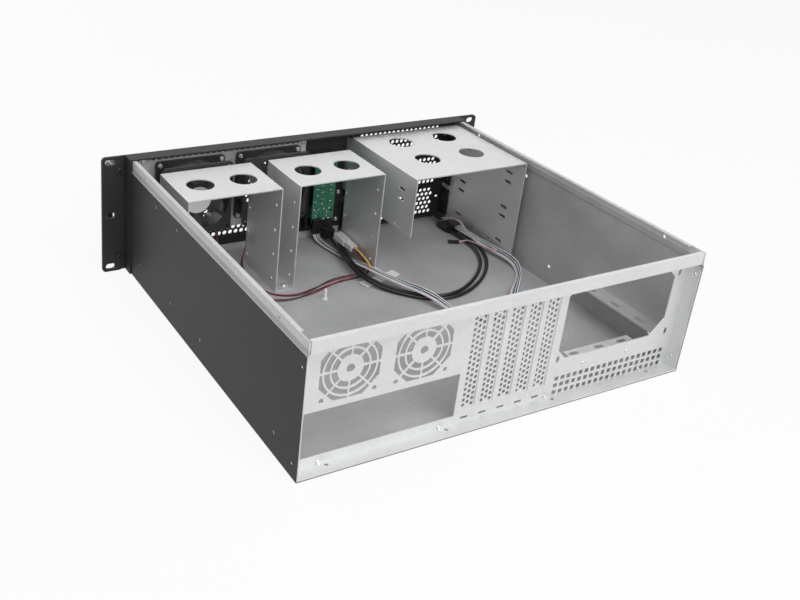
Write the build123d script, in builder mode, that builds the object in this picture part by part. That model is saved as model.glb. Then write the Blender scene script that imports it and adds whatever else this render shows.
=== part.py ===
# Empty 3U rackmount server case with its top cover off, in millimetres.
# X runs across the case, Y from the front panel to the rear panel, Z upwards.
import os
from math import cos, pi, radians, sin, tan

from build123d import *

os.makedirs("parts", exist_ok=True)

# Rack standard
rack_width = 482.6
rack_height = 132.5
slot_span = 465.1
slot_pitch = 60.325
slot_length = 10.6
slot_height = 6.8

# Body of the case
body_width = 428.0
body_depth = 392.6
wall = 1.2
rim_height = 13.6
rim_step = 1.5
rim_hem = 3.0
front_lip = 8.0

# Front panel
panel_sheet = 1.6
side_return = 15.0
ear_inner = 218.7
handle_reach = 36.0
handle_pitch = 100.0
handle_bar = 9.0
handle_inset = 10.0

# Front openings
intake_edge = 14.0
intake_right = 8.0
intake_bottom = 21.0
intake_top = 124.0
intake_pitch = 7.0
intake_row = 6.1
intake_hole = 5.2
mesh_pitch = 6.4
mesh_row = 6.0
mesh_hole = 4.7

# Rear panel
rear_sheet = 1.0
recess = 13.3
shelf_height = 120.2
rear_hem = 4.0
case_fan = 60.0
case_fan_pitch = 50.0
case_fan_hole = 4.4
guard_window = 56.6
guard_cut = 15.0
guard_rings = (25.3, 18.5)
guard_wire = 1.8
guard_hub = 12.3
guard_eye = 3.9
fan_window_left = 164.2
fan_window_right = 93.2
fan_window_height = 88.6
io_width = 158.75
io_height = 44.45
io_right = 50.5
io_bottom = 10.1
slot_count = 5
card_pitch = 20.32
card_first = 36.4
card_window = 14.4
card_bottom = 16.5
cover_width = 18.4
cover_sheet = 0.9
cover_hole = 3.4
cover_column = 4.6
cover_row = 5.5
supply_screw_x = -200.2
supply_screw_z = 41.6
supply_span = 138.0
supply_rise = 64.0
supply_top_span = 114.0
supply_top_rise = 74.0
vent_size = 4.8
vent_pitch = 7.47
vent_columns = 19
vent_rows = 3

# Drive cages
cage_sheet = 1.2
cage_width = 104.5
cage_height = 122.0
cage_front = 35.1
cage_back = 110.3
cage_left_x = 190.5
cage_middle_x = 65.8
cage_foot = 9.8
cage_hole_first = 40.0
cage_hole_pitch = 60.3
cage_hole_low = 14.6
cage_hole_rise = 28.4
bay_left = -56.0
bay_width = 150.0
bay_height = 126.5
bay_front = 11.2
bay_back = 144.3
bay_short_wall = 69.0
bay_count = 3
bay_pitch = 41.3
bay_floor = 2.9
bay_slot_first = 39.2
bay_slot_span = 79.3
bay_slot_long = 12.0
bay_slot_tall = 3.0

# Front fans
fan_size = 80.0
fan_depth = 25.0
fan_bore = 76.0
fan_pitch = 71.5
fan_height = 82.0
fan_edge = 31.0
fan_gap = 14.5
fan_room_drawn = 56.0
fan_flange = 3.6
hub_radius = 16.0
blade_count = 7
blade_gap = 0.9

# Fits
clear = 0.3
hole_clear = 0.4

# Places worked out from the sizes above
half_rack = rack_width / 2
half_body = body_width / 2
tray_height = rack_height - panel_sheet
rim_low = tray_height - rim_height
face_y = (panel_sheet + handle_reach - body_depth) / 2
back_y = face_y + body_depth
rear_y = back_y - recess
mid_z = rack_height / 2
floor_top = wall
wall_inside = half_body - wall
bay_right = bay_left - bay_width
rim_out = half_body - rim_step
intake_left = half_body - intake_edge


def across(y):
    """Upright plane facing the front; a negative extrude goes to the rear."""
    return Plane.XZ.offset(-y)


def along(x):
    """Upright plane at one X, with Y across and Z up."""
    return Plane.YZ.offset(x)


def level(z):
    return Plane.XY.offset(z)


def keep(piece, name):
    piece.part.label = name
    export_step(piece.part, f"parts/{name}.step")


def staggered(left, right, bottom, top, pitch, row, size):
    """Centres of a staggered hole field that stays inside a window."""
    spots = []
    rows = int((top - bottom - size) / row)
    columns = int((right - left - size) / pitch)
    start_x = (left + right - columns * pitch) / 2
    start_z = (bottom + top - rows * row) / 2
    for r in range(rows + 1):
        odd = r % 2
        for c in range(columns + 1 - odd):
            spots.append((start_x + (c + odd / 2) * pitch, start_z + r * row))
    return spots


# Holes of the side walls, as distance from the front panel and height
wall_holes = [(84.1, 109.0), (138.2, 108.0), (125.4, 22.0), (38.6, 22.7), (199.2, 21.6), (350.8, 21.2)]
wall_hole = 4.2
rim_holes = [(48.1, 125.3), (343.0, 125.3)]
rear_holes = [(recess - 5.7, 106.0), (recess - 9.5, 13.0)]
screw_hole = 3.6
ledge_first = 181.0
ledge_count = 4
ledge_from_back = 8.7


def make_chassis():
    """Floor and side walls, folded from one sheet, with stepped rims and hems."""
    step_z = rim_low + rim_step
    with BuildPart() as chassis:
        with BuildSketch(across(face_y)):
            with BuildLine():
                right = [
                    (0, 0),
                    (half_body, 0),
                    (half_body, rim_low),
                    (rim_out, step_z),
                    (rim_out, tray_height),
                    (rim_out - wall - rim_hem, tray_height),
                    (rim_out - wall - rim_hem, tray_height - wall),
                    (rim_out - wall, tray_height - wall),
                    (rim_out - wall, step_z - wall / 2),
                    (half_body - wall, rim_low - wall / 2),
                    (half_body - wall, wall),
                    (0, wall),
                ]
                Polyline(*right, close=True)
            make_face()
            mirror(about=Plane.YZ)
        extrude(amount=-body_depth)
        corners = chassis.edges().filter_by(Axis.Y).group_by(Axis.Z)[0]
        fillet(corners.filter_by(lambda e: abs(abs(e.center().X) - half_body) < 0.1), wall * 0.8)
        # The hem stops short of the rear, where the cover hooks in
        hem_end = recess + 3.7
        with BuildSketch(level(tray_height - wall)):
            for side in (-1, 1):
                with Locations((side * (rim_out - wall - rim_hem / 2), back_y - hem_end / 2)):
                    Rectangle(rim_hem, hem_end)
        extrude(amount=wall, mode=Mode.SUBTRACT)
        # Upturned lip behind the front panel, clear of the bay openings
        with BuildSketch(level(floor_top)):
            with Locations(((wall_inside - 1 + bay_left + 2) / 2, face_y + wall / 2)):
                Rectangle(wall_inside - 1 - bay_left - 2, wall)
        extrude(amount=front_lip)
        # Screw holes in both side walls
        with BuildSketch(along(-half_body - 1)):
            with Locations(*[(face_y + y, z) for y, z in wall_holes]):
                Circle(wall_hole / 2)
            with Locations(*[(face_y + y, z) for y, z in rim_holes]):
                Circle(screw_hole / 2)
            with Locations(*[(rear_y + y, z) for y, z in rear_holes]):
                Circle(screw_hole / 2)
        extrude(amount=body_width + 2, mode=Mode.SUBTRACT)
        # Holes of the rear ledge
        with BuildSketch(level(-1)):
            with Locations(*ledge_spots()):
                Circle(screw_hole / 2)
        extrude(amount=wall + 2, mode=Mode.SUBTRACT)
    keep(chassis, "chassis")


def ledge_spots():
    gap = 2 * ledge_first / (ledge_count - 1)
    return [(-ledge_first + i * gap, back_y - ledge_from_back) for i in range(ledge_count)]


ear_slots = [(side * slot_span / 2, mid_z + row * slot_pitch) for side in (-1, 1) for row in (-1, 0, 1)]
handle_x = slot_span / 2 - handle_inset
handle_spots = [(side * handle_x, mid_z + end * handle_pitch / 2) for side in (-1, 1) for end in (-1, 1)]
handle_screw = 4.0

# Opening for the control module, beside the fans
control_left = -2.0
control_right = -42.0
control_bottom = 16.0
control_top = 110.0
bay_opening_top = bay_floor + bay_count * bay_pitch


def make_front_panel():
    """Front plate with hemmed ears and folded top and side returns."""
    with BuildPart() as panel:
        with BuildSketch(across(face_y - panel_sheet)):
            with Locations((0, mid_z)):
                RectangleRounded(rack_width, rack_height, 4)
        extrude(amount=-panel_sheet)
        # Hemmed ears, two sheets thick
        with BuildSketch(across(face_y)):
            for side in (-1, 1):
                with Locations((side * (half_rack + ear_inner) / 2, mid_z)):
                    RectangleRounded(half_rack - ear_inner, rack_height, 3.9)
        extrude(amount=-panel_sheet)
        # Side and top returns round the front of the tray
        with BuildSketch(across(face_y)):
            for side in (-1, 1):
                with Locations((side * (half_body + panel_sheet / 2), mid_z)):
                    Rectangle(panel_sheet, rack_height)
            with Locations((0, rack_height - panel_sheet / 2)):
                Rectangle(body_width, panel_sheet)
        extrude(amount=-side_return)
        with BuildSketch(across(face_y - panel_sheet - 1)):
            with Locations(*ear_slots):
                SlotOverall(slot_length, slot_height)
            with Locations(*handle_spots):
                Circle(handle_screw / 2 + hole_clear)
        extrude(amount=-(panel_sheet * 2 + 2), mode=Mode.SUBTRACT)
        with BuildSketch(across(face_y - panel_sheet - 1)):
            with Locations(*staggered(
                intake_right, intake_left, intake_bottom, intake_top, intake_pitch, intake_row, intake_hole
            )):
                Circle(intake_hole / 2)
            with Locations(((control_left + control_right) / 2, (control_bottom + control_top) / 2)):
                RectangleRounded(control_left - control_right, control_top - control_bottom, 2)
            with Locations((bay_left - bay_width / 2, (bay_floor + bay_opening_top) / 2)):
                Rectangle(bay_width - 2 * cage_sheet, bay_opening_top - bay_floor)
        extrude(amount=-(panel_sheet + 1.5), mode=Mode.SUBTRACT)
    keep(panel, "front_panel")


def make_handle(side, name):
    """Bow handle: round bar with a foot at each end, tapped for its screws."""
    top = mid_z + handle_pitch / 2
    low = mid_z - handle_pitch / 2
    front = face_y - panel_sheet
    foot = handle_bar + 4
    bow_y = front - handle_reach + handle_bar / 2
    with BuildPart() as handle:
        with BuildLine(along(side * handle_x)) as bow:
            FilletPolyline((front, low), (bow_y, low), (bow_y, top), (front, top), radius=14)
        with BuildSketch(Plane(bow.line @ 0, z_dir=bow.line % 0)):
            Circle(handle_bar / 2)
        sweep()
        with BuildSketch(across(front)):
            with Locations((side * handle_x, low), (side * handle_x, top)):
                Circle(foot / 2)
        extrude(amount=3)
        fillet(handle.edges().filter_by(GeomType.CIRCLE).filter_by(lambda e: abs(e.radius - foot / 2) < 0.01
               and e.center().Y < front - 1), 0.8)
        with BuildSketch(across(front)):
            with Locations((side * handle_x, low), (side * handle_x, top)):
                Circle(handle_screw / 2 + 0.05)
        extrude(amount=10, mode=Mode.SUBTRACT)
    keep(handle, name)


def make_screws(name, plane, spots, head, head_high, shank, length, recess_deep=0.8):
    """Pan-head screws: each head stands off the plane, its shank goes the other way."""
    with BuildPart() as screws:
        with BuildSketch(plane):
            with Locations(*spots):
                Circle(head / 2)
        extrude(amount=head_high)
        rims = screws.edges().filter_by(lambda e: plane.to_local_coords(e.center()).Z > head_high / 2)
        fillet(rims, head_high * 0.4)
        with BuildSketch(plane):
            with Locations(*spots):
                Circle(shank / 2)
        extrude(amount=-length)
        with BuildSketch(plane.offset(head_high)):
            with Locations(*spots):
                Rectangle(head * 0.55, head * 0.13)
                Rectangle(head * 0.13, head * 0.55)
        extrude(amount=-recess_deep, mode=Mode.SUBTRACT)
    keep(screws, name)


# Bay covers
cover_reveal = 0.5
cover_flange = 18.0
cover_margin = 11.0
flange_holes = [(9.5, 8.7), (8.5, 16.2), (9.5, 23.0)]


def make_bay_cover(index, name):
    """Perforated blanking plate with a flange folded back at each end."""
    low = bay_floor + index * bay_pitch + cover_reveal / 2
    high = low + bay_pitch - cover_reveal
    half = bay_width / 2 - cage_sheet - cover_reveal / 2
    centre = bay_left - bay_width / 2
    with BuildPart() as cover:
        with BuildSketch(across(face_y - panel_sheet)):
            with Locations((centre, (low + high) / 2)):
                Rectangle(2 * half, high - low)
        extrude(amount=-wall)
        with BuildSketch(across(face_y - panel_sheet)):
            for side in (-1, 1):
                with Locations((centre + side * (half - 0.5), (low + high) / 2)):
                    Rectangle(1.0, high - low - 6)
        extrude(amount=-cover_flange)
        with BuildSketch(across(face_y - panel_sheet)):
            for end in (low + 0.5, high - 0.5):
                with Locations((centre, end)):
                    Rectangle(2 * half - 2 * cover_margin, 1.0)
        extrude(amount=-6)
        with BuildSketch(across(face_y - panel_sheet - 1)):
            with Locations(*staggered(
                centre - half + cover_margin, centre + half - cover_margin,
                low + 2.2, high - 2.2, mesh_pitch, mesh_row, mesh_hole
            )):
                Circle(mesh_hole / 2)
            with Locations((centre - half + cover_margin / 2 + 0.6, (low + high) / 2 + 4)):
                SlotOverall(5, 3)
        extrude(amount=-(wall + 1), mode=Mode.SUBTRACT)
        with BuildSketch(along(centre - half - 1)):
            with Locations(*[(face_y + y, low + z) for y, z in flange_holes]):
                Circle(1.2)
        extrude(amount=2 * half + 2, mode=Mode.SUBTRACT)
    keep(cover, name)


# The fans share the room between the side wall and the control window
fan_room = half_body - control_left - 2 * fan_size
fan_left_x = half_body - fan_size / 2 - fan_edge / fan_room_drawn * fan_room
fan_middle_x = fan_left_x - fan_size - fan_gap / fan_room_drawn * fan_room
bracket_edge = 13.0
bracket_left = half_body - bracket_edge
bracket_right = 0.0
bracket_tab = 9.2
tab_x = [bracket_left - bracket_tab / 2, bracket_right + bracket_tab / 2]
bracket_low = 32.0
bracket_top = 123.6
fan_screw = 3.2


def fan_corners(centre_x, pitch=fan_pitch):
    half = pitch / 2
    return [(centre_x + i * half, fan_height + j * half) for i in (-1, 1) for j in (-1, 1)]


def make_fan_bracket():
    """Plate that holds both front fans against the intake."""
    left, right = bracket_left, bracket_right
    with BuildPart() as bracket:
        with BuildSketch(across(face_y)):
            with Locations(((left + right) / 2, (bracket_low + bracket_top) / 2)):
                Rectangle(left - right, bracket_top - bracket_low)
            for x in tab_x:
                with Locations((x, bracket_top + 1)):
                    Rectangle(bracket_tab, 8)
            with Locations(((fan_left_x + fan_middle_x) / 2, bracket_low + 12)):
                Rectangle(10, 24.2, mode=Mode.SUBTRACT)
            for x in (fan_left_x, fan_middle_x):
                with Locations((x, fan_height)):
                    Circle(fan_bore / 2, mode=Mode.SUBTRACT)
                with Locations(*fan_corners(x)):
                    Circle(fan_screw / 2 + hole_clear / 2, mode=Mode.SUBTRACT)
            with Locations(*[(x, bracket_top) for x in tab_x]):
                Circle(1.7, mode=Mode.SUBTRACT)
        extrude(amount=-wall)
    keep(bracket, "fan_bracket")


fan_y = face_y + wall


def make_fan_frame(centre_x, name):
    """Moulded fan frame: two flanges, a round barrel, motor seat and four struts."""
    with BuildPart() as frame:
        with BuildSketch(across(fan_y)):
            with Locations((centre_x, fan_height)):
                RectangleRounded(fan_size, fan_size, 4)
        extrude(amount=-fan_flange)
        with BuildSketch(across(fan_y + fan_depth - fan_flange)):
            with Locations((centre_x, fan_height)):
                RectangleRounded(fan_size, fan_size, 4)
        extrude(amount=-fan_flange)
        with BuildSketch(across(fan_y)):
            with Locations((centre_x, fan_height)):
                Circle(fan_size / 2 - 0.2)
        extrude(amount=-fan_depth)
        with BuildSketch(across(fan_y)):
            with Locations((centre_x, fan_height)):
                Circle(fan_bore / 2)
            with Locations(*fan_corners(centre_x)):
                Circle(fan_screw / 2 + hole_clear)
        extrude(amount=-fan_depth, mode=Mode.SUBTRACT)
        seat = across(fan_y + fan_depth - 3.2)
        with BuildSketch(seat):
            with Locations((centre_x, fan_height)):
                Circle(hub_radius + 1)
            for turn in (35, 125, 215, 305):
                with Locations(Location((centre_x, fan_height), turn)):
                    with Locations((fan_bore / 4 + 4, 0)):
                        Rectangle(fan_bore / 2 - 7, 4)
        extrude(amount=-3)
        # Shaft tube that the rotor turns on
        with BuildSketch(seat):
            with Locations((centre_x, fan_height)):
                Circle(3.5)
        extrude(amount=12)
    keep(frame, name)


def make_fan_rotor(centre_x, name):
    """Hub cap and seven pitched blades round the shaft tube."""
    hub_back = fan_y + fan_depth - 3.2 - 0.4
    hub_front = fan_y + 3.0
    blade_tip = fan_bore / 2 - blade_gap
    with BuildPart() as rotor:
        with BuildSketch(across(hub_front)):
            with Locations((centre_x, fan_height)):
                Circle(hub_radius)
        extrude(amount=hub_front - hub_back)
        fillet(rotor.edges().sort_by(Axis.Y)[0], 1.5)
        middle = (hub_front + hub_back) / 2
        for i in range(blade_count):
            turn = 360 / blade_count * i
            out = (cos(radians(turn)), 0, sin(radians(turn)))
            spin = (-sin(radians(turn)), 0, cos(radians(turn)))
            lean = radians(38)
            chord = tuple(spin[k] * cos(lean) + (0, 1, 0)[k] * sin(lean) for k in range(3))
            root = (centre_x + out[0] * (hub_radius - 2), middle, fan_height + out[2] * (hub_radius - 2))
            with BuildSketch(Plane(root, x_dir=chord, z_dir=out)):
                Rectangle(20, 1.6)
            extrude(amount=blade_tip - hub_radius + 1.2)
        with BuildSketch(across(hub_back)):
            with Locations((centre_x, fan_height)):
                Circle(3.5 + clear)
        extrude(amount=13, mode=Mode.SUBTRACT)
    keep(rotor, name)


def cage_hole_spots():
    return [
        (face_y + cage_hole_first + i * cage_hole_pitch, cage_hole_low + j * cage_hole_rise)
        for i in range(2)
        for j in range(4)
    ]


cage_window = 29.0
cage_window_pitch = 48.3
cage_window_y = 74.1
foot_screw_y = (45.0, 100.6)
foot_slot_y = 97.0
foot_screw_in = 6.4


def foot_spots(left_x, rear_right):
    """Screw places on both feet of a drive cage; the right foot can do without its rear screw."""
    right_x = left_x - cage_width - foot_screw_in
    spots = [(left_x + foot_screw_in, face_y + y) for y in foot_screw_y]
    return spots + [(right_x, face_y + y) for y in foot_screw_y[: 2 if rear_right else 1]]


def make_drive_cage(left_x, rear_right, name):
    """Folded bridge for four 3.5 inch drives, with screw rows and feet turned outwards."""
    right_x = left_x - cage_width
    middle_x = (left_x + right_x) / 2
    middle_y = face_y + (cage_front + cage_back) / 2
    length = cage_back - cage_front
    with BuildPart() as cage:
        with BuildSketch(across(face_y + cage_front)):
            with Locations((middle_x, (cage_height + floor_top) / 2)):
                Rectangle(cage_width, cage_height - floor_top)
            with Locations((middle_x, (cage_height + floor_top) / 2 - cage_sheet)):
                Rectangle(cage_width - 2 * cage_sheet, cage_height - floor_top, mode=Mode.SUBTRACT)
        extrude(amount=-length)
        fillet(cage.edges().filter_by(Axis.Y).group_by(Axis.Z)[-1], cage_sheet * 0.9)
        with BuildSketch(level(floor_top)):
            for edge, side in ((left_x, 1), (right_x, -1)):
                with Locations((edge + side * (cage_foot - cage_sheet) / 2, middle_y)):
                    Rectangle(cage_foot + cage_sheet, length - 3)
        extrude(amount=cage_sheet)
        with BuildSketch(level(floor_top)):
            with Locations(*foot_spots(left_x, rear_right)):
                Circle(1.7)
            if not rear_right:
                with Locations((right_x - cage_foot / 2, face_y + foot_slot_y)):
                    SlotOverall(9, 2.6, rotation=90)
        extrude(amount=cage_sheet, mode=Mode.SUBTRACT)
        with BuildSketch(level(cage_height - cage_sheet - 1)):
            for side in (-1, 1):
                with Locations((middle_x + side * cage_window_pitch / 2, face_y + cage_window_y)):
                    Circle(cage_window / 2)
        extrude(amount=cage_sheet + 2, mode=Mode.SUBTRACT)
        with BuildSketch(along(right_x - 1)):
            with Locations(*cage_hole_spots()):
                Circle(1.7)
        extrude(amount=cage_width + 2, mode=Mode.SUBTRACT)
    keep(cage, name)


bay_window_x = (-102.5, -163.5)
bay_window_y = (42.6, 96.1)
bay_slots_high = (105.7, 93.9, 62.5)
bay_slots_low = (50.7, 19.4)
bay_foot = 6.0
bay_foot_spots = [(bay_right - bay_foot / 2 - 0.1, face_y + y) for y in (30, 128)]


def make_bay_cage():
    """Cage of the three 5.25 inch bays: a deep wall, a short wall and a windowed top."""
    wall_low = bay_height - bay_short_wall
    with BuildPart() as cage:
        with BuildSketch(across(face_y)):
            with BuildLine():
                Polyline(
                    (bay_left, wall_low),
                    (bay_left, bay_height),
                    (bay_right, bay_height),
                    (bay_right, floor_top + cage_sheet),
                    (bay_right - bay_foot, floor_top + cage_sheet),
                    (bay_right - bay_foot, floor_top),
                    (bay_right + cage_sheet, floor_top),
                    (bay_right + cage_sheet, bay_height - cage_sheet),
                    (bay_left - cage_sheet, bay_height - cage_sheet),
                    (bay_left - cage_sheet, wall_low),
                    close=True,
                )
            make_face()
        extrude(amount=-bay_back)
        fillet(cage.edges().filter_by(Axis.Y).group_by(Axis.Z)[-1], cage_sheet * 0.9)
        # The top plate starts behind the panel's return
        with BuildSketch(level(bay_height - cage_sheet - 2)):
            with Locations((bay_left - bay_width / 2, face_y + bay_front / 2)):
                Rectangle(bay_width + 2, bay_front)
        extrude(amount=cage_sheet + 4, mode=Mode.SUBTRACT)
        with BuildSketch(level(bay_height - cage_sheet - 1)):
            with Locations(*[(x, face_y + y) for x in bay_window_x for y in bay_window_y]):
                Circle(cage_window / 2)
        extrude(amount=cage_sheet + 2, mode=Mode.SUBTRACT)
        slot_y = [face_y + bay_slot_first + i * bay_slot_span for i in range(2)]
        with BuildSketch(along(bay_right - 1)):
            with Locations(*[(y, z) for y in slot_y for z in bay_slots_high + bay_slots_low]):
                SlotOverall(bay_slot_long, bay_slot_tall)
            with Locations((face_y + 71, 14), (face_y + 101.4, 14)):
                Circle(1.6)
        extrude(amount=cage_sheet + 2, mode=Mode.SUBTRACT)
        with BuildSketch(along(bay_left + 1)):
            with Locations(*[(y, z) for y in slot_y for z in bay_slots_high]):
                SlotOverall(bay_slot_long, bay_slot_tall)
        extrude(amount=-(cage_sheet + 2), mode=Mode.SUBTRACT)
        with BuildSketch(level(floor_top)):
            with Locations(*bay_foot_spots):
                Circle(1.5)
        extrude(amount=cage_sheet, mode=Mode.SUBTRACT)
    keep(cage, "bay_cage")


# Control module behind the front panel
holder_deep = 10.0
holder_wall = 2.0
holder_flange = 11.0
board_sheet = 1.6
power_spot = (-22.0, 98.0)
reset_spot = (-22.0, 82.0)
lamp_spots = [(-22.0, 70.0), (-22.0, 62.0), (-22.0, 54.0)]
port_spots = [(-15.0, 34.0), (-29.0, 34.0)]
port_size = (7.0, 15.0)
power_radius = 5.0
reset_radius = 3.0
button_travel = 2.0
board_left = -9.5
board_right = -38.5
board_low = 23.5
holder_screws = [(-48.5, 55.5), (-48.5, 20.3)]


def make_control_holder():
    """Black module box: bezel in the panel's window, open to the rear, with a side flange."""
    left, right = control_left - clear, control_right + clear
    low, high = control_bottom + clear, control_top - clear
    middle = ((left + right) / 2, (low + high) / 2)
    with BuildPart() as holder:
        with BuildSketch(across(face_y - panel_sheet)):
            with Locations(middle):
                RectangleRounded(left - right, high - low, 1.7)
        extrude(amount=-(panel_sheet + holder_deep))
        with BuildSketch(across(face_y)):
            with Locations(((right - holder_flange + left + 1.4) / 2, (low + high) / 2)):
                Rectangle(left - right + holder_flange + 1.4, high - low + 4)
        extrude(amount=-holder_wall)
        with BuildSketch(across(face_y - panel_sheet + holder_wall)):
            with Locations(middle):
                Rectangle(left - right - 2 * holder_wall, high - low - 2 * holder_wall)
        extrude(amount=-(holder_deep + 2), mode=Mode.SUBTRACT)
        with BuildSketch(across(face_y - panel_sheet - 1)):
            with Locations(power_spot):
                Circle(power_radius + clear)
            with Locations(reset_spot):
                Circle(reset_radius + clear)
            with Locations(*lamp_spots):
                Circle(1.5)
            with Locations(*port_spots):
                Rectangle(*port_size)
        extrude(amount=-(holder_wall + 1), mode=Mode.SUBTRACT)
        with BuildSketch(across(face_y - 1)):
            with Locations(*holder_screws):
                Circle(1.6)
        extrude(amount=-(holder_wall + 2), mode=Mode.SUBTRACT)
        # Cable mouth at the bottom
        with BuildSketch(level(low - 1)):
            with Locations(((left + right) / 2, face_y + 9)):
                Rectangle(28, 8)
        extrude(amount=holder_wall + 2, mode=Mode.SUBTRACT)
    keep(holder, "control_holder")


board_y = face_y + holder_deep


def make_control_board():
    """Circuit board that closes the back of the module, with its two switch bodies."""
    high = control_top - clear - holder_wall + 1
    with BuildPart() as board:
        with BuildSketch(across(board_y)):
            with Locations(((board_left + board_right) / 2, (board_low + high) / 2)):
                Rectangle(board_left - board_right, high - board_low)
            with Locations((board_left - 3.4, high - 4), (board_right + 3.4, board_low + 14)):
                Circle(1.6, mode=Mode.SUBTRACT)
        extrude(amount=-board_sheet)
    keep(board, "control_board")


def make_switches():
    """Two push switches soldered to the board's front."""
    with BuildPart() as switches:
        with BuildSketch(across(board_y)):
            with Locations(power_spot, reset_spot):
                Rectangle(7, 7)
        extrude(amount=5)
    keep(switches, "board_switches")


def make_button(spot, radius, name):
    """Cap with a collar that keeps it behind the bezel."""
    bezel_back = face_y - panel_sheet + holder_wall
    with BuildPart() as button:
        with BuildSketch(across(bezel_back + clear)):
            with Locations(spot):
                Circle(radius)
        extrude(amount=holder_wall + clear + 1.8)
        fillet(button.edges().sort_by(Axis.Y)[0], 0.6)
        with BuildSketch(across(bezel_back + clear)):
            with Locations(spot):
                Circle(radius + 1.2)
        extrude(amount=-1.2)
        with BuildSketch(across(bezel_back + clear)):
            with Locations(spot):
                Circle(1.5)
        extrude(amount=-(board_y - 5 - bezel_back - clear - button_travel - 0.2))
    keep(button, name)


def make_lamps():
    """Three lamps in the bezel, on legs from the board."""
    front = face_y - panel_sheet
    with BuildPart() as lamps:
        with BuildSketch(across(front)):
            with Locations(*lamp_spots):
                Circle(1.5)
        extrude(amount=-(holder_wall + 3))
        fillet(lamps.edges().group_by(Axis.Y)[0], 0.8)
        with BuildSketch(across(front + holder_wall + 3)):
            with Locations(*lamp_spots):
                Rectangle(1.2, 0.6)
        extrude(amount=-(board_y - front - holder_wall - 3))
    keep(lamps, "status_lamps")


def make_ports():
    """Two shielded sockets, open to the front, with their tongues."""
    front = face_y - panel_sheet
    deep = board_y - front
    with BuildPart() as ports:
        with BuildSketch(across(front)):
            with Locations(*port_spots):
                Rectangle(*port_size)
        extrude(amount=-deep)
        with BuildSketch(across(front)):
            with Locations(*port_spots):
                Rectangle(port_size[0] - 1.2, port_size[1] - 1.2)
        extrude(amount=-(deep - 2), mode=Mode.SUBTRACT)
        with BuildSketch(across(front + 1.5)):
            with Locations(*[(x + 0.9, z) for x, z in port_spots]):
                Rectangle(1.8, port_size[1] - 3.5)
        extrude(amount=-(deep - 2))
    keep(ports, "usb_ports")


header_low = 12.0
header_deep = 6.0
header_span = (-9.6, -21.6)
socket_low = 6.5
socket_top = 17.0
socket_z = 11.6
socket_deep = 11.0
socket_spots = (-26.6, -33.4)
socket_width = 6.2


def make_board_headers():
    """Black ribbon header and two cable sockets hung from the bottom of the board."""
    back = board_y + board_sheet
    with BuildPart() as headers:
        with BuildSketch(across(back)):
            with Locations((sum(header_span) / 2, (header_low + board_low + 6) / 2)):
                Rectangle(header_span[0] - header_span[1], board_low + 6 - header_low)
        extrude(amount=-header_deep)
        with BuildSketch(across(back)):
            for x in socket_spots:
                with Locations((x, (socket_low + socket_top) / 2)):
                    Rectangle(socket_width, socket_top - socket_low)
            with Locations((sum(socket_spots) / 2, socket_top + 5)):
                Rectangle(socket_spots[0] - socket_spots[1] + socket_width, 10)
        extrude(amount=-2)
        with BuildSketch(across(back + 2)):
            for x in socket_spots:
                with Locations((x, (socket_low + socket_top) / 2)):
                    Rectangle(socket_width, socket_top - socket_low)
        extrude(amount=-(socket_deep - 2))
    keep(headers, "board_headers")


def octagon_window(centre_x, half, cut):
    """Square window with its corners cut off."""
    points = []
    for sx, sz, swap in ((1, 1, 0), (-1, 1, 1), (-1, -1, 0), (1, -1, 1)):
        pair = [(sx * half, sz * (half - cut)), (sx * (half - cut), sz * half)]
        points += pair[::-1] if swap else pair
    return [(centre_x + x, fan_window_height + z) for x, z in points]


def card_x(index):
    return card_first - index * card_pitch


tab_slot_z = 6.4
tab_slot_shift = 2.4
supply_window = [
    (-61.3, 107.5), (-65.0, 111.0), (-186.0, 111.0), (-194.6, 102.4),
    (-194.6, 57.0), (-178.6, 41.0), (-71.5, 41.0), (-61.3, 51.2),
]
supply_slot = (3.6, 7.4)
rivet_x = (-96.0, -152.0)
rivet_z = 29.8
rivet_radius = 1.6
cover_screw_back = 5.6
gusset = 2.8
gusset_width = 1.6


def supply_screws():
    x, z = supply_screw_x, supply_screw_z
    return [(x, z), (x, z + supply_rise), (x + supply_span, z), (x + supply_top_span, z + supply_top_rise)]


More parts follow.
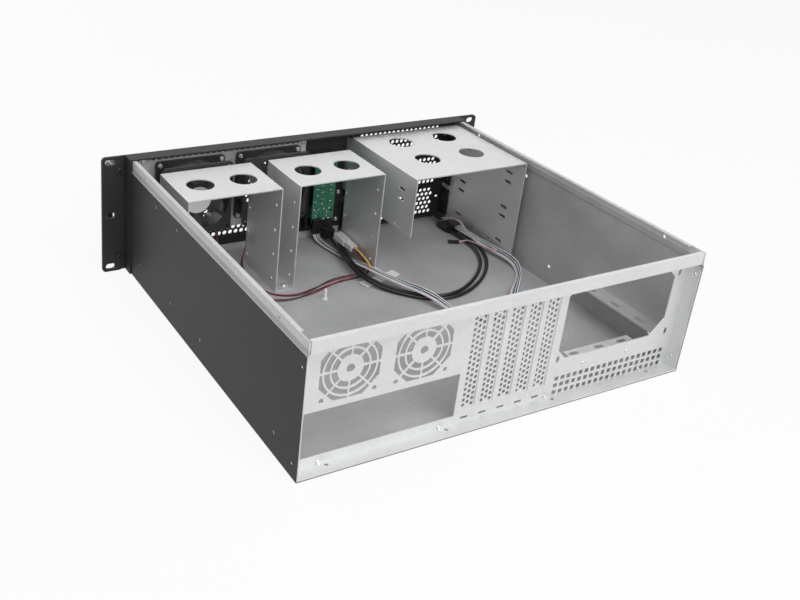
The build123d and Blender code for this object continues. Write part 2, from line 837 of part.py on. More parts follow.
def make_rear_panel():
    """Rear panel folded as a shallow tray, with a stepped top that carries the card brackets."""
    t = rear_sheet
    inner = wall_inside
    top = tray_height
    half_top = rim_out - wall - 0.8
    with BuildPart() as panel:
        # Upright face, shelf, rim and hem as one profile
        with BuildSketch(along(-inner)):
            with BuildLine():
                Polyline(
                    (rear_y - t, floor_top),
                    (back_y, floor_top),
                    (back_y, floor_top + t),
                    (rear_y, floor_top + t),
                    (rear_y, shelf_height - t),
                    (rear_y - t, shelf_height - t),
                    close=True,
                )
            make_face()
        extrude(amount=2 * inner)
        with BuildSketch(along(-half_top)):
            with BuildLine():
                Polyline(
                    (rear_y - t, shelf_height - t - 0.01),
                    (back_y, shelf_height - t - 0.01),
                    (back_y, top),
                    (back_y - rear_hem, top),
                    (back_y - rear_hem, top - t),
                    (back_y - t, top - t),
                    (back_y - t, shelf_height),
                    (rear_y - t, shelf_height),
                    close=True,
                )
            make_face()
        extrude(amount=2 * half_top)
        # The corners pass inside the stepped rim of the walls
        with BuildSketch(across(rear_y - t - 1)):
            for side in (-1, 1):
                with Locations((side * (inner + half_top) / 2, (rim_low - 0.6 + shelf_height) / 2)):
                    Rectangle(inner - half_top, shelf_height - rim_low + 0.6)
        extrude(amount=-(t + 1), mode=Mode.SUBTRACT)
        # Side flanges against the walls, with a rounded top corner
        flange_top = rim_low - 0.6
        for x in (-inner, inner - t):
            with BuildSketch(along(x)):
                with BuildLine():
                    Polyline(
                        (rear_y - t, floor_top),
                        (back_y - 0.5, floor_top),
                        (back_y - 0.5, flange_top - 7),
                        (back_y - 2.5, flange_top - 2),
                        (back_y - 7.5, flange_top),
                        (rear_y - t, flange_top),
                        close=True,
                    )
                make_face()
            extrude(amount=t)
        # Small pressed gussets in the lower bend
        for x, y in ledge_spots():
            with BuildSketch(along(x + 5)):
                with BuildLine():
                    Polyline(
                        (rear_y - 0.1, floor_top + t - 0.1), (rear_y + gusset, floor_top + t - 0.1),
                        (rear_y - 0.1, floor_top + t + gusset), close=True,
                    )
                make_face()
            extrude(amount=gusset_width)
        # Windows of the upright face
        with BuildSketch(across(rear_y - 3)):
            with Locations((io_right + io_width / 2, io_bottom + io_height / 2)):
                Rectangle(io_width, io_height)
            for i in range(slot_count):
                with Locations((card_x(i), (card_bottom + shelf_height - t - 2) / 2)):
                    Rectangle(card_window, shelf_height - t - 2 - card_bottom)
                with Locations((card_x(i) + tab_slot_shift, tab_slot_z)):
                    Rectangle(8, 2)
            with Locations(*supply_screws()):
                SlotOverall(supply_slot[1], supply_slot[0], rotation=90)
            with Locations(*[(x, rivet_z) for x in rivet_x]):
                Circle(rivet_radius + 0.05)
        extrude(amount=-4, mode=Mode.SUBTRACT)
        with BuildSketch(across(rear_y - 3)):
            with BuildLine():
                Polyline(*supply_window, close=True)
            make_face()
        extrude(amount=-4, mode=Mode.SUBTRACT)
        vent_first = -65.7
        vent_low = floor_top + t + 0.4 + vent_size / 2
        with BuildSketch(across(rear_y - 3)):
            with Locations(*[
                (vent_first - i * vent_pitch, vent_low + j * vent_pitch)
                for i in range(vent_columns) for j in range(vent_rows)
            ]):
                Rectangle(vent_size, vent_size)
        extrude(amount=-4, mode=Mode.SUBTRACT)
        # Finger guards: hub disc, two rings and eight spokes in a cut-corner window
        for x in (fan_window_left, fan_window_right):
            with BuildSketch(across(rear_y - 3)):
                with BuildLine():
                    Polyline(*octagon_window(x, guard_window / 2, guard_cut), close=True)
                make_face()
                with Locations((x, fan_window_height)):
                    for ring in guard_rings:
                        Circle(ring + guard_wire / 2, mode=Mode.SUBTRACT)
                        Circle(ring - guard_wire / 2)
                    Circle(guard_hub, mode=Mode.SUBTRACT)
                for turn in (0, 45, 90, 135):
                    with Locations(Location((x, fan_window_height), turn)):
                        Rectangle(case_fan * 1.3, guard_wire, mode=Mode.SUBTRACT)
                with Locations((x, fan_window_height)):
                    Circle(guard_eye)
                    with GridLocations(case_fan_pitch, case_fan_pitch, 2, 2):
                        Circle(case_fan_hole / 2)
            extrude(amount=-4, mode=Mode.SUBTRACT)
        # Screw holes of the shelf, side flanges and ledge
        with BuildSketch(level(shelf_height - t - 1)):
            with Locations(*[(card_x(i), rear_y + cover_screw_back) for i in range(slot_count)]):
                Circle(1.6)
        extrude(amount=t + 2, mode=Mode.SUBTRACT)
        with BuildSketch(along(-inner - 1)):
            with Locations(*[(rear_y + y, z) for y, z in rear_holes]):
                Circle(screw_hole / 2)
        extrude(amount=2 * inner + 2, mode=Mode.SUBTRACT)
        with BuildSketch(level(floor_top - 1)):
            with Locations(*ledge_spots()):
                Circle(screw_hole / 2)
        extrude(amount=t + 2, mode=Mode.SUBTRACT)
    keep(panel, "rear_panel")


def make_slot_cover(index, name):
    """Perforated card-slot blank: plate inside the panel, top tab over the shelf, pointed foot."""
    x = card_x(index)
    shift = -0.7 if index < 3 else 0.0
    y = rear_y - rear_sheet - cover_sheet
    low = card_bottom - 3.5
    with BuildPart() as cover:
        with BuildSketch(across(y)):
            with Locations((x + shift, (low + shelf_height + cover_sheet) / 2)):
                Rectangle(cover_width, shelf_height + cover_sheet - low)
            with Locations((x + tab_slot_shift, low - 4.2)):
                Rectangle(7.4, 9)
        extrude(amount=-cover_sheet)
        with BuildSketch(level(shelf_height)):
            with Locations((x + shift, y + 6.6)):
                Rectangle(cover_width, 13.2)
            with Locations((x, rear_y + cover_screw_back)):
                Circle(1.6, mode=Mode.SUBTRACT)
        extrude(amount=cover_sheet)
        rows = int((shelf_height - 6 - card_bottom) / cover_row)
        spots = []
        for r in range(rows):
            for c in (-1, 0, 1):
                lift = cover_row / 2 if c == 0 else 0
                spots.append((x + shift + 1.2 + c * cover_column, card_bottom + 2.6 + r * cover_row + lift))
        with BuildSketch(across(y - 1)):
            with Locations(*spots):
                Circle(cover_hole / 2)
        extrude(amount=-(cover_sheet + 1.5), mode=Mode.SUBTRACT)
    keep(cover, name)


rail_top = supply_screw_z - 6.2
side_rail = (256.0, 368.0)
side_rail_reach = 19.0
side_rail_shares = (0.2, 0.5, 0.8)
rear_rail = (-84.0, -166.0)
rear_rail_reach = 15.0
rear_rail_shares = (0.1, 0.49, 0.84)


def make_side_rail():
    """Angle on the side wall that carries the power supply."""
    start, end = side_rail
    wall_x = -wall_inside
    with BuildPart() as rail:
        with BuildSketch(across(face_y + start)):
            with BuildLine():
                Polyline(
                    (wall_x, rail_top - 14), (wall_x, rail_top), (wall_x + side_rail_reach, rail_top),
                    (wall_x + side_rail_reach, rail_top - 1), (wall_x + 1, rail_top - 1),
                    (wall_x + 1, rail_top - 14), close=True,
                )
            make_face()
        extrude(amount=-(end - start))
        with BuildSketch(level(rail_top - 2)):
            with Locations(*[
                (wall_x + side_rail_reach - 7, face_y + start + share * (end - start)) for share in side_rail_shares
            ]):
                SlotOverall(13, 5, rotation=90)
        extrude(amount=3, mode=Mode.SUBTRACT)
    keep(rail, "supply_side_rail")


def make_rear_rail():
    """Angle riveted inside the rear panel under the power-supply window."""
    left, right = rear_rail
    inside = rear_y - rear_sheet
    with BuildPart() as rail:
        with BuildSketch(along(right)):
            with BuildLine():
                Polyline(
                    (inside, rail_top - 13), (inside, rail_top), (inside - rear_rail_reach, rail_top),
                    (inside - rear_rail_reach, rail_top - 1), (inside - 1, rail_top - 1),
                    (inside - 1, rail_top - 13), close=True,
                )
            make_face()
        extrude(amount=left - right)
        with BuildSketch(level(rail_top - 2)):
            with Locations(*[
                (left + share * (right - left), inside - rear_rail_reach + 6) for share in rear_rail_shares
            ]):
                SlotOverall(11, 4.6)
        extrude(amount=3, mode=Mode.SUBTRACT)
        with BuildSketch(across(inside + 1)):
            with Locations(*[(x, rivet_z) for x in rivet_x]):
                Circle(rivet_radius + 0.05)
        extrude(amount=3, mode=Mode.SUBTRACT)
    keep(rail, "supply_rear_rail")


def make_rivets():
    """Two rivets that hold the rear angle."""
    with BuildPart() as rivets:
        with BuildSketch(across(rear_y)):
            with Locations(*[(x, rivet_z) for x in rivet_x]):
                Circle(rivet_radius)
        extrude(amount=rear_sheet + 1)
        with BuildSketch(across(rear_y)):
            with Locations(*[(x, rivet_z) for x in rivet_x]):
                Circle(2.6)
        extrude(amount=-0.8)
        fillet(rivets.edges().group_by(Axis.Y)[-1], 0.5)
        with BuildSketch(across(rear_y - rear_sheet - 1)):
            with Locations(*[(x, rivet_z) for x in rivet_x]):
                Circle(2.4)
        extrude(amount=0.8)
    keep(rivets, "rail_rivets")


standoff_spot = (43.8, 141.5)


def make_standoff():
    """White snap-in board support standing on the floor."""
    x, y = standoff_spot
    with BuildPart() as standoff:
        with BuildSketch(level(floor_top)):
            with Locations((x, face_y + y)):
                Circle(3.2)
        extrude(amount=1.2)
        with BuildSketch(level(floor_top)):
            with Locations((x, face_y + y)):
                Circle(1.9)
        extrude(amount=10)
        with BuildSketch(level(floor_top + 10)):
            with Locations((x, face_y + y)):
                Circle(1.4)
        extrude(amount=2.4, taper=12)
    keep(standoff, "board_support")


# Loose wiring: each route is a list of X, distance behind the panel, and height
ribbon_size = 5.0
cable_size = 4.0
lead_size = 2.6
pair_size = 2.4
usb_plug_x = (-185.4, -197.0)
usb_plug_ends = (31.0, 54.0)
usb_plug_box = (10.2, 6.6)
lead_plug_x = (-187.6, -190.6, -193.6)
lead_plug_ends = (44.0, 58.0)
lead_plug_low = 9.2
corner_plug_ends = (16.5, 29.0)
corner_plug_spot = (-188.5, 11.0)
pink_plug_start = (-178.0, 80.2)
pink_plug_end = (-166.6, 75.0)
fan_plug_x = -31.0
fan_plug_ends = (38.0, 75.5)
fan_plug_z = 17.0
fan_exit_y = wall + fan_depth - fan_flange / 2
fan_exit_z = fan_height - fan_size / 2
ribbon_route = [
    (-15.6, 14.6, header_low), (-15.4, 15.6, 7.4), (-16.0, 22.0, 4.4), (-17.0, 34.0, 4.0),
    (-20.8, 54.0, 4.1), (-25.4, 79.0, 5.2), (-29.6, 105.0, 9.0), (-37.2, 131.0, 9.4),
    (-45.4, 156.0, 10.4), (-53.0, 179.0, 12.4), (-60.0, 199.0, 11.4), (-66.5, 219.0, 6.0),
    (-78.0, 236.5, 4.2), (-98.0, 246.5, 4.0), (-121.0, 244.0, 4.2), (-139.5, 230.0, 4.0),
    (-153.0, 213.5, 4.2), (-169.5, 198.0, 4.6), (-187.0, 182.5, 4.4), (-198.6, 167.0, 5.4),
    (-201.6, 155.5, 8.2), (-200.4, 143.0, 10.0), (-197.6, 122.0, 9.8), (-194.0, 100.0, 10.4),
    (-191.4, 79.0, 11.8), (-190.6, lead_plug_ends[1], 11.8),
]
cable_one_route = [
    (socket_spots[1], 22.6, socket_z), (-31.8, 37.0, 11.0), (-26.6, 57.0, 10.2), (-20.8, 82.0, 10.0),
    (-17.4, 106.0, 9.4), (-20.2, 126.6, 6.6), (-30.4, 146.0, 4.2), (-43.8, 162.0, 3.4),
    (-58.2, 175.4, 3.5), (-73.4, 184.0, 3.4), (-91.0, 186.0, 3.5), (-111.0, 180.8, 3.4),
    (-134.0, 168.0, 3.5), (-156.0, 150.5, 3.4), (-173.0, 131.0, 3.5), (-183.6, 109.0, 3.4),
    (-186.8, 90.0, 3.5), (-186.0, 72.0, 4.2), (usb_plug_x[0], usb_plug_ends[1], 4.9),
]
cable_two_route = [
    (socket_spots[0], 22.6, socket_z), (-25.4, 36.0, 11.2), (-20.8, 56.0, 10.4), (-15.2, 81.0, 10.2),
    (-11.6, 106.0, 9.6), (-14.6, 129.0, 7.0), (-25.4, 150.0, 4.4), (-39.4, 167.0, 3.6),
    (-54.4, 181.4, 3.4), (-71.6, 190.2, 3.5), (-91.0, 192.4, 3.4), (-112.6, 187.4, 3.5),
    (-137.4, 174.6, 3.4), (-160.6, 156.6, 3.5), (-179.4, 135.0, 3.4), (-191.4, 110.6, 3.5),
    (-196.2, 90.0, 3.4), (-197.2, 72.0, 4.2), (usb_plug_x[1], usb_plug_ends[1], 4.9),
]
pink_route = [
    (-197.2, 128.0, 10.6), (-192.4, 117.0, 9.4), (-190.2, 106.0, 8.4), (-188.4, 96.0, 8.0),
    (-185.6, 88.4, 7.8), (-182.0, 83.6, 5.4),
    (pink_plug_start[0], pink_plug_start[1], 2.9),
]
corner_route = [
    (-191.6, 72.0, 14.6), (-196.0, 60.0, 16.6), (-198.0, 48.0, 15.8), (-195.0, 37.6, 13.2),
    (corner_plug_spot[0], corner_plug_ends[1], corner_plug_spot[1]),
]
fan_lead_one_route = [
    (118.0, fan_exit_y, fan_exit_z), (118.0, 25.4, 28.0), (117.4, 30.4, 14.0), (116.4, 43.0, 5.2),
    (114.8, 62.0, 2.7), (113.6, 84.0, 2.8), (111.0, 107.0, 2.7), (102.0, 125.0, 2.8), (84.0, 131.8, 2.7),
    (64.0, 130.6, 2.8), (45.0, 126.0, 2.7), (26.0, 118.8, 2.8), (8.0, 114.8, 2.7), (-9.0, 114.4, 2.8),
    (-24.0, 112.8, 2.7), (-33.4, 107.0, 3.0), (-35.8, 98.0, 4.8), (-35.8, 90.0, 8.2),
    (-34.8, 82.4, 12.4), (fan_plug_x - 2.2, fan_plug_ends[1], fan_plug_z),
]
fan_lead_two_route = [
    (80.0, fan_exit_y, fan_exit_z), (80.4, 24.9, 29.0), (83.2, 27.4, 15.0), (89.2, 32.4, 6.0),
    (95.6, 44.0, 2.9), (100.0, 62.0, 2.7), (102.0, 84.0, 2.8), (98.6, 106.0, 2.7), (85.6, 122.0, 2.8),
    (66.0, 126.0, 2.7), (47.0, 120.6, 2.8), (29.0, 113.4, 2.7), (12.0, 109.0, 2.8), (-6.0, 107.6, 2.7),
    (-19.0, 107.0, 2.8), (-27.6, 103.4, 3.0), (-32.8, 97.0, 4.4), (-32.8, 89.6, 8.4),
    (-30.6, 82.2, 12.8), (fan_plug_x + 2.2, fan_plug_ends[1], fan_plug_z),
]
plug_pair_route = [
    (fan_plug_x, fan_plug_ends[1], fan_plug_z + 2.0), (-31.4, 85.0, 18.4), (-32.8, 95.0, 15.0),
    (-33.6, 103.5, 12.4), (-31.8, 111.5, 9.8),
]
cords = [
    ("panel_ribbon", ribbon_size, ribbon_route),
    ("usb_cable_1", cable_size, cable_one_route),
    ("usb_cable_2", cable_size, cable_two_route),
    ("pink_lead", pair_size, pink_route),
    ("corner_lead", pair_size, corner_route),
    ("fan_lead_left", lead_size, fan_lead_one_route),
    ("fan_lead_middle", lead_size, fan_lead_two_route),
    ("plug_pair", pair_size, plug_pair_route),
]


def make_cord(name, size, route):
    """Round tube along straight runs joined by the largest tangent arcs they allow."""
    points = [Vector(x, face_y + y, z) for x, y, z in route]
    radii = []
    for before, point, after in zip(points, points[1:], points[2:]):
        run_in, run_out = point - before, after - point
        turn = radians(run_in.get_angle(run_out))
        radii.append(0.45 * min(run_in.length, run_out.length) / tan(turn / 2))
    with BuildPart() as cord:
        with BuildLine() as path:
            FilletPolyline(*points, radius=radii)
        with BuildSketch(Plane(path.line @ 0, z_dir=path.line % 0)):
            Circle(size / 2)
        sweep()
    length = path.wires()[0].length
    ratio = cord.part.volume / (length * pi * size * size / 4)
    print(name, "length", round(length, 1), "volume over section times length", round(ratio, 3))
    print("  radii", [round(r, 1) for r in radii])
    keep(cord, name)


def make_usb_plug(x, name):
    """Black ten-way plug at the end of a cable, lying in the front corner."""
    start, end = usb_plug_ends
    width, tall = usb_plug_box
    low = floor_top + 0.3
    with BuildPart() as plug:
        with BuildSketch(across(face_y + start)):
            with Locations((x, low + tall / 2)):
                Rectangle(width, tall)
        extrude(amount=-(end - start - 4))
        fillet(plug.edges().filter_by(Axis.Y), 0.6)
        with BuildSketch(across(face_y + end - 4)):
            with Locations((x, low + tall / 2)):
                Rectangle(width - 3, tall - 1)
        extrude(amount=-4)
        with BuildSketch(across(face_y + start)):
            with Locations((x, low + tall / 2)):
                with GridLocations(1.9, 2.54, 5, 2):
                    Rectangle(0.9, 0.9)
        extrude(amount=-6, mode=Mode.SUBTRACT)
    keep(plug, name)


def make_lead_plugs():
    """Three black two-way plugs on the ribbon's end."""
    start, end = lead_plug_ends
    with BuildPart() as plugs:
        with BuildSketch(across(face_y + start)):
            with Locations(*[(x, lead_plug_low + 2.6) for x in lead_plug_x]):
                Rectangle(2.6, 5.2)
        extrude(amount=-(end - start))
        with BuildSketch(across(face_y + start)):
            with Locations(*[(x, lead_plug_low + z) for x in lead_plug_x for z in (1.33, 3.87)]):
                Rectangle(0.9, 0.9)
        extrude(amount=-8, mode=Mode.SUBTRACT)
    keep(plugs, "lead_plugs")


def make_corner_plug():
    """Black plug of the wire pair that reaches into the corner."""
    start, end = corner_plug_ends
    with BuildPart() as plug:
        with BuildSketch(across(face_y + start)):
            with Locations(corner_plug_spot):
                Rectangle(7.6, 5.2)
                with GridLocations(2.54, 1, 2, 1):
                    Rectangle(0.9, 0.9, mode=Mode.SUBTRACT)
        extrude(amount=-8)
        with BuildSketch(across(face_y + start + 8)):
            with Locations(corner_plug_spot):
                Rectangle(7.6, 5.2)
        extrude(amount=-(end - start - 8))
    keep(plug, "corner_plug")


def make_pink_plug():
    """Black two-way plug lying on the floor."""
    start = Vector(pink_plug_start[0], face_y + pink_plug_start[1], floor_top + 0.3 + 1.35)
    end = Vector(pink_plug_end[0], face_y + pink_plug_end[1], start.Z)
    with BuildPart() as plug:
        with BuildSketch(Plane(start, x_dir=(0, 0, 1), z_dir=end - start)):
            Rectangle(2.7, 5.2)
        extrude(amount=(end - start).length)
        with BuildSketch(Plane(end, x_dir=(0, 0, 1), z_dir=end - start)):
            with GridLocations(1, 2.54, 1, 2):
                Rectangle(0.9, 0.9)
        extrude(amount=-8, mode=Mode.SUBTRACT)
    keep(plug, "pink_plug")


def make_fan_plug():
    """White mated plug pair of the two fan leads, the socket half a little narrower."""
    start, end = fan_plug_ends
    middle = start + 0.58 * (end - start)
    with BuildPart() as plug:
        with BuildSketch(across(face_y + start)):
            with Locations((fan_plug_x, fan_plug_z)):
                Rectangle(10.4, 7.2)
        extrude(amount=-(middle - start))
        with BuildSketch(across(face_y + middle)):
            with Locations((fan_plug_x, fan_plug_z)):
                Rectangle(9.0, 6.2)
        extrude(amount=-(end - middle))
        with BuildSketch(level(fan_plug_z + 3.6)):
            with Locations((fan_plug_x, face_y + middle - 4)):
                Rectangle(4, 12)
        extrude(amount=1.1)
    keep(plug, "fan_plug")


clip_ends = ((-14.0, 129.0), (-58.0, 119.4))
clip_width = 13.0
clip_sheet = 0.6
clip_rise = 0.9


def make_clip():
    """Flat white cable clip lying under the bundle, its two ends turned up a little."""
    start, end = [Vector(x, face_y + y, floor_top) for x, y in clip_ends]
    course = (end - start).normalized()
    half = (end - start).length / 2
    flat = Plane((start + end) / 2, x_dir=course, z_dir=course.cross(Vector(0, 0, 1)))
    with BuildPart() as clip:
        with BuildSketch(flat.offset(-clip_width / 2)):
            with BuildLine():
                Polyline(
                    (-half - 4, clip_rise), (-half, 0), (half, 0), (half + 4, clip_rise),
                    (half + 4, clip_rise + clip_sheet), (half, clip_sheet),
                    (-half, clip_sheet), (-half - 4, clip_rise + clip_sheet), close=True,
                )
            make_face()
        extrude(amount=clip_width)
    keep(clip, "cable_clip")


make_chassis()
make_front_panel()
make_handle(1, "handle_left")
make_handle(-1, "handle_right")
make_screws("handle_screws", across(face_y + panel_sheet).rotated((180, 0, 0)),
            [(x, -z) for x, z in handle_spots], 8.0, 2.4, handle_screw, panel_sheet * 2 + 8)
for number, cover_name in enumerate(("bay_cover_bottom", "bay_cover_middle", "bay_cover_top")):
    make_bay_cover(number, cover_name)
make_fan_bracket()
for fan_x, place in ((fan_left_x, "left"), (fan_middle_x, "middle")):
    make_fan_frame(fan_x, f"fan_frame_{place}")
    make_fan_rotor(fan_x, f"fan_rotor_{place}")
make_drive_cage(cage_left_x, False, "drive_cage_left")
make_drive_cage(cage_middle_x, True, "drive_cage_middle")
make_bay_cage()
make_screws("cage_screws", level(floor_top + cage_sheet),
            foot_spots(cage_left_x, False) + foot_spots(cage_middle_x, True), 6.0, 1.8, 3.0, cage_sheet)
make_screws("bay_cage_screws", level(floor_top + cage_sheet), bay_foot_spots, 5.0, 1.6, 2.6, cage_sheet)
make_control_holder()
make_control_board()
make_switches()
make_button(power_spot, power_radius, "power_button")
make_button(reset_spot, reset_radius, "reset_button")
make_lamps()
make_ports()
make_board_headers()
make_screws("holder_screws", across(face_y + holder_wall).rotated((180, 0, 0)),
            [(x, -z) for x, z in holder_screws], 5.5, 2.0, 3.0, holder_wall)
make_screws("bracket_screws", across(face_y + wall).rotated((180, 0, 0)),
            [(x, -bracket_top) for x in tab_x], 5.5, 2.0, 3.0, wall)
make_screws("fan_screws", across(fan_y + fan_flange).rotated((180, 0, 0)),
            [(x, -z) for x, z in fan_corners(fan_left_x) + fan_corners(fan_middle_x)],
            5.6, 2.0, fan_screw, fan_flange + wall)
make_rear_panel()
for number in range(slot_count):
    make_slot_cover(number, f"slot_cover_{number + 1}")
make_screws("slot_screws", level(shelf_height + cover_sheet),
            [(card_x(i), rear_y + cover_screw_back) for i in range(slot_count)], 5.6, 2.2, 2.9, 3.0)
make_side_rail()
make_rear_rail()
make_rivets()
make_standoff()
make_clip()
for number, plug_x in enumerate(usb_plug_x):
    make_usb_plug(plug_x, f"usb_plug_{number + 1}")
make_lead_plugs()
make_corner_plug()
make_pink_plug()
make_fan_plug()
for cord_name, cord_width, cord_route in cords:
    make_cord(cord_name, cord_width, cord_route)
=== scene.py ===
import math

import bmesh
import bpy
from mathutils import Matrix, Vector


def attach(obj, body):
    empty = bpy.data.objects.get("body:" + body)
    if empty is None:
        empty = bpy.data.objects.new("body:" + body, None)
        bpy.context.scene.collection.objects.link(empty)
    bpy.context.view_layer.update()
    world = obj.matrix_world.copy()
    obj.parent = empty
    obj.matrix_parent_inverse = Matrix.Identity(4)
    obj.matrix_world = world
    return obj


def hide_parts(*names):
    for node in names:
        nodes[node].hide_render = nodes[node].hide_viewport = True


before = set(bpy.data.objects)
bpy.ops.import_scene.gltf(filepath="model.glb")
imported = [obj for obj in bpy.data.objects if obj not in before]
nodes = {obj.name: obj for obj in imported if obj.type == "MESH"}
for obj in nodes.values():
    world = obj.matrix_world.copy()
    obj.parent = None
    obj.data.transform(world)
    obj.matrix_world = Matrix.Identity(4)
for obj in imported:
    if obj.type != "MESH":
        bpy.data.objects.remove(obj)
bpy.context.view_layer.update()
scene = bpy.context.scene
bpy.ops.object.select_all(action="DESELECT")
print("case loaded,", len(nodes), "pieces")


# Camera, fitted to the photo, with its angles in radians and its lens in mm on a 36 mm sensor
photoCamera = {
    "place": (0.5528, 0.7670, 0.5280),
    "yaw": -2.6071,
    "pitch": 0.4308,
    "roll": 0.0824,
    "lens": 45.82,
    "shift": (0.12, -0.10),
}


def addCamera(fit):
    yaw, pitch, roll = fit["yaw"], fit["pitch"], fit["roll"]
    aim = Vector((math.sin(yaw) * math.cos(pitch), math.cos(yaw) * math.cos(pitch), -math.sin(pitch)))
    side = aim.cross(Vector((0, 0, 1))).normalized()
    up = side.cross(aim)
    turnedSide = side * math.cos(roll) + up * math.sin(roll)
    turnedUp = up * math.cos(roll) - side * math.sin(roll)
    data = bpy.data.cameras.new("photoCamera")
    data.sensor_width = 36
    data.lens = fit["lens"]
    data.shift_x, data.shift_y = fit["shift"]
    data.clip_start, data.clip_end = 0.01, 50
    camera = bpy.data.objects.new("photoCamera", data)
    scene.collection.objects.link(camera)
    turn = Matrix((turnedSide, turnedUp, -aim)).transposed().to_4x4()
    camera.matrix_world = Matrix.Translation(fit["place"]) @ turn
    scene.camera = camera


addCamera(photoCamera)
print("camera placed")


# Materials: small helpers for their nodes
def addNode(tree, kind, **values):
    node = tree.nodes.new(kind)
    for key, value in values.items():
        if key in node.inputs:
            node.inputs[key].default_value = value
        else:
            setattr(node, key, value)
    return node


def mathNode(tree, operation, first, second=0.5, clamp=False):
    node = addNode(tree, "ShaderNodeMath", operation=operation, use_clamp=clamp)
    for socket, value in zip(node.inputs, (first, second)):
        if isinstance(value, (int, float)):
            socket.default_value = value
        else:
            tree.links.new(value, socket)
    return node.outputs[0]


def remap(tree, value, low, high, outLow=0.0, outHigh=1.0):
    node = addNode(tree, "ShaderNodeMapRange", clamp=True)
    tree.links.new(value, node.inputs["Value"])
    for key, number in (("From Min", low), ("From Max", high), ("To Min", outLow), ("To Max", outHigh)):
        node.inputs[key].default_value = number
    return node.outputs["Result"]


def newGroup(name, inputs, outputs):
    tree = bpy.data.node_groups.new(name, "ShaderNodeTree")
    for label, value in inputs.items():
        socket = tree.interface.new_socket(label, in_out="INPUT", socket_type="NodeSocketFloat")
        socket.default_value = value
    for label in outputs:
        tree.interface.new_socket(label, in_out="OUTPUT", socket_type="NodeSocketFloat")
    return tree, tree.nodes.new("NodeGroupInput"), tree.nodes.new("NodeGroupOutput")


def placeGroup(tree, name, **values):
    node = tree.nodes.new("ShaderNodeGroup")
    node.node_tree = bpy.data.node_groups[name]
    for key, value in values.items():
        node.inputs[key].default_value = value
    return node


def noise(tree, place, scale, detail=2.0, roughness=0.5):
    node = addNode(tree, "ShaderNodeTexNoise", Detail=detail, Roughness=roughness)
    tree.links.new(place, node.inputs["Vector"])
    if isinstance(scale, (int, float)):
        node.inputs["Scale"].default_value = scale
    else:
        tree.links.new(scale, node.inputs["Scale"])
    return node.outputs["Fac"]


def objectParts(tree):
    parts = addNode(tree, "ShaderNodeSeparateXYZ")
    tree.links.new(addNode(tree, "ShaderNodeTexCoord").outputs["Object"], parts.inputs["Vector"])
    return parts.outputs


def faceParts(tree):
    parts = addNode(tree, "ShaderNodeSeparateXYZ")
    tree.links.new(addNode(tree, "ShaderNodeNewGeometry").outputs["Normal"], parts.inputs["Vector"])
    return parts.outputs


# Zinc-coated sheet: cloudy patches, crystal cells and a fine grain
def makeZincGrain():
    tree, given, result = newGroup(
        "zincGrain",
        {"Grain Scale": 2200.0, "Cell Scale": 330.0, "Cloud": 0.10, "Cells": 0.05, "Grain": 0.08},
        ("Tone", "Roughness", "Height"),
    )
    place = addNode(tree, "ShaderNodeTexCoord").outputs["Object"]
    cloud = noise(tree, place, 17.0, 3.0)
    grain = noise(tree, place, given.outputs["Grain Scale"], 3.0, 0.65)
    cells = addNode(tree, "ShaderNodeTexVoronoi", Randomness=1.0)
    tree.links.new(place, cells.inputs["Vector"])
    tree.links.new(given.outputs["Cell Scale"], cells.inputs["Scale"])
    cell = addNode(tree, "ShaderNodeSeparateColor")
    tree.links.new(cells.outputs["Color"], cell.inputs["Color"])
    cellTone = mathNode(tree, "SUBTRACT", cell.outputs["Red"], 0.5)
    cloudTone = mathNode(tree, "MULTIPLY", mathNode(tree, "SUBTRACT", cloud, 0.5), given.outputs["Cloud"])
    grainTone = mathNode(tree, "MULTIPLY", mathNode(tree, "SUBTRACT", grain, 0.5), given.outputs["Grain"])
    cellShare = mathNode(tree, "MULTIPLY", cellTone, given.outputs["Cells"])
    total = mathNode(tree, "ADD", mathNode(tree, "ADD", cloudTone, grainTone), cellShare)
    doubled = mathNode(tree, "MULTIPLY", total, 2.0)
    tree.links.new(mathNode(tree, "ADD", doubled, 1.0), result.inputs["Tone"])
    cellRough = mathNode(tree, "MULTIPLY", cellTone, 0.12)
    cloudRough = mathNode(tree, "MULTIPLY", cloud, 0.1)
    tree.links.new(mathNode(tree, "ADD", cellRough, cloudRough), result.inputs["Roughness"])
    tree.links.new(grain, result.inputs["Height"])


# Powder coat: rounded orange-peel bumps with tiny light specks
def makePowderSkin():
    tree, given, result = newGroup(
        "powderSkin", {"Peel Scale": 900.0, "Specks": 0.12}, ("Tone", "Roughness", "Height"))
    place = addNode(tree, "ShaderNodeTexCoord").outputs["Object"]
    peel = noise(tree, place, given.outputs["Peel Scale"], 2.0, 0.6)
    cloud = noise(tree, place, 9.0, 2.0)
    speck = remap(tree, noise(tree, place, 3100.0, 1.0, 0.5), 0.62, 0.75)
    tone = mathNode(tree, "ADD", mathNode(tree, "MULTIPLY", speck, given.outputs["Specks"]),
                    remap(tree, cloud, 0.3, 0.7, 0.94, 1.06))
    tree.links.new(tone, result.inputs["Tone"])
    tree.links.new(remap(tree, peel, 0.3, 0.7, -0.05, 0.06), result.inputs["Roughness"])
    tree.links.new(peel, result.inputs["Height"])


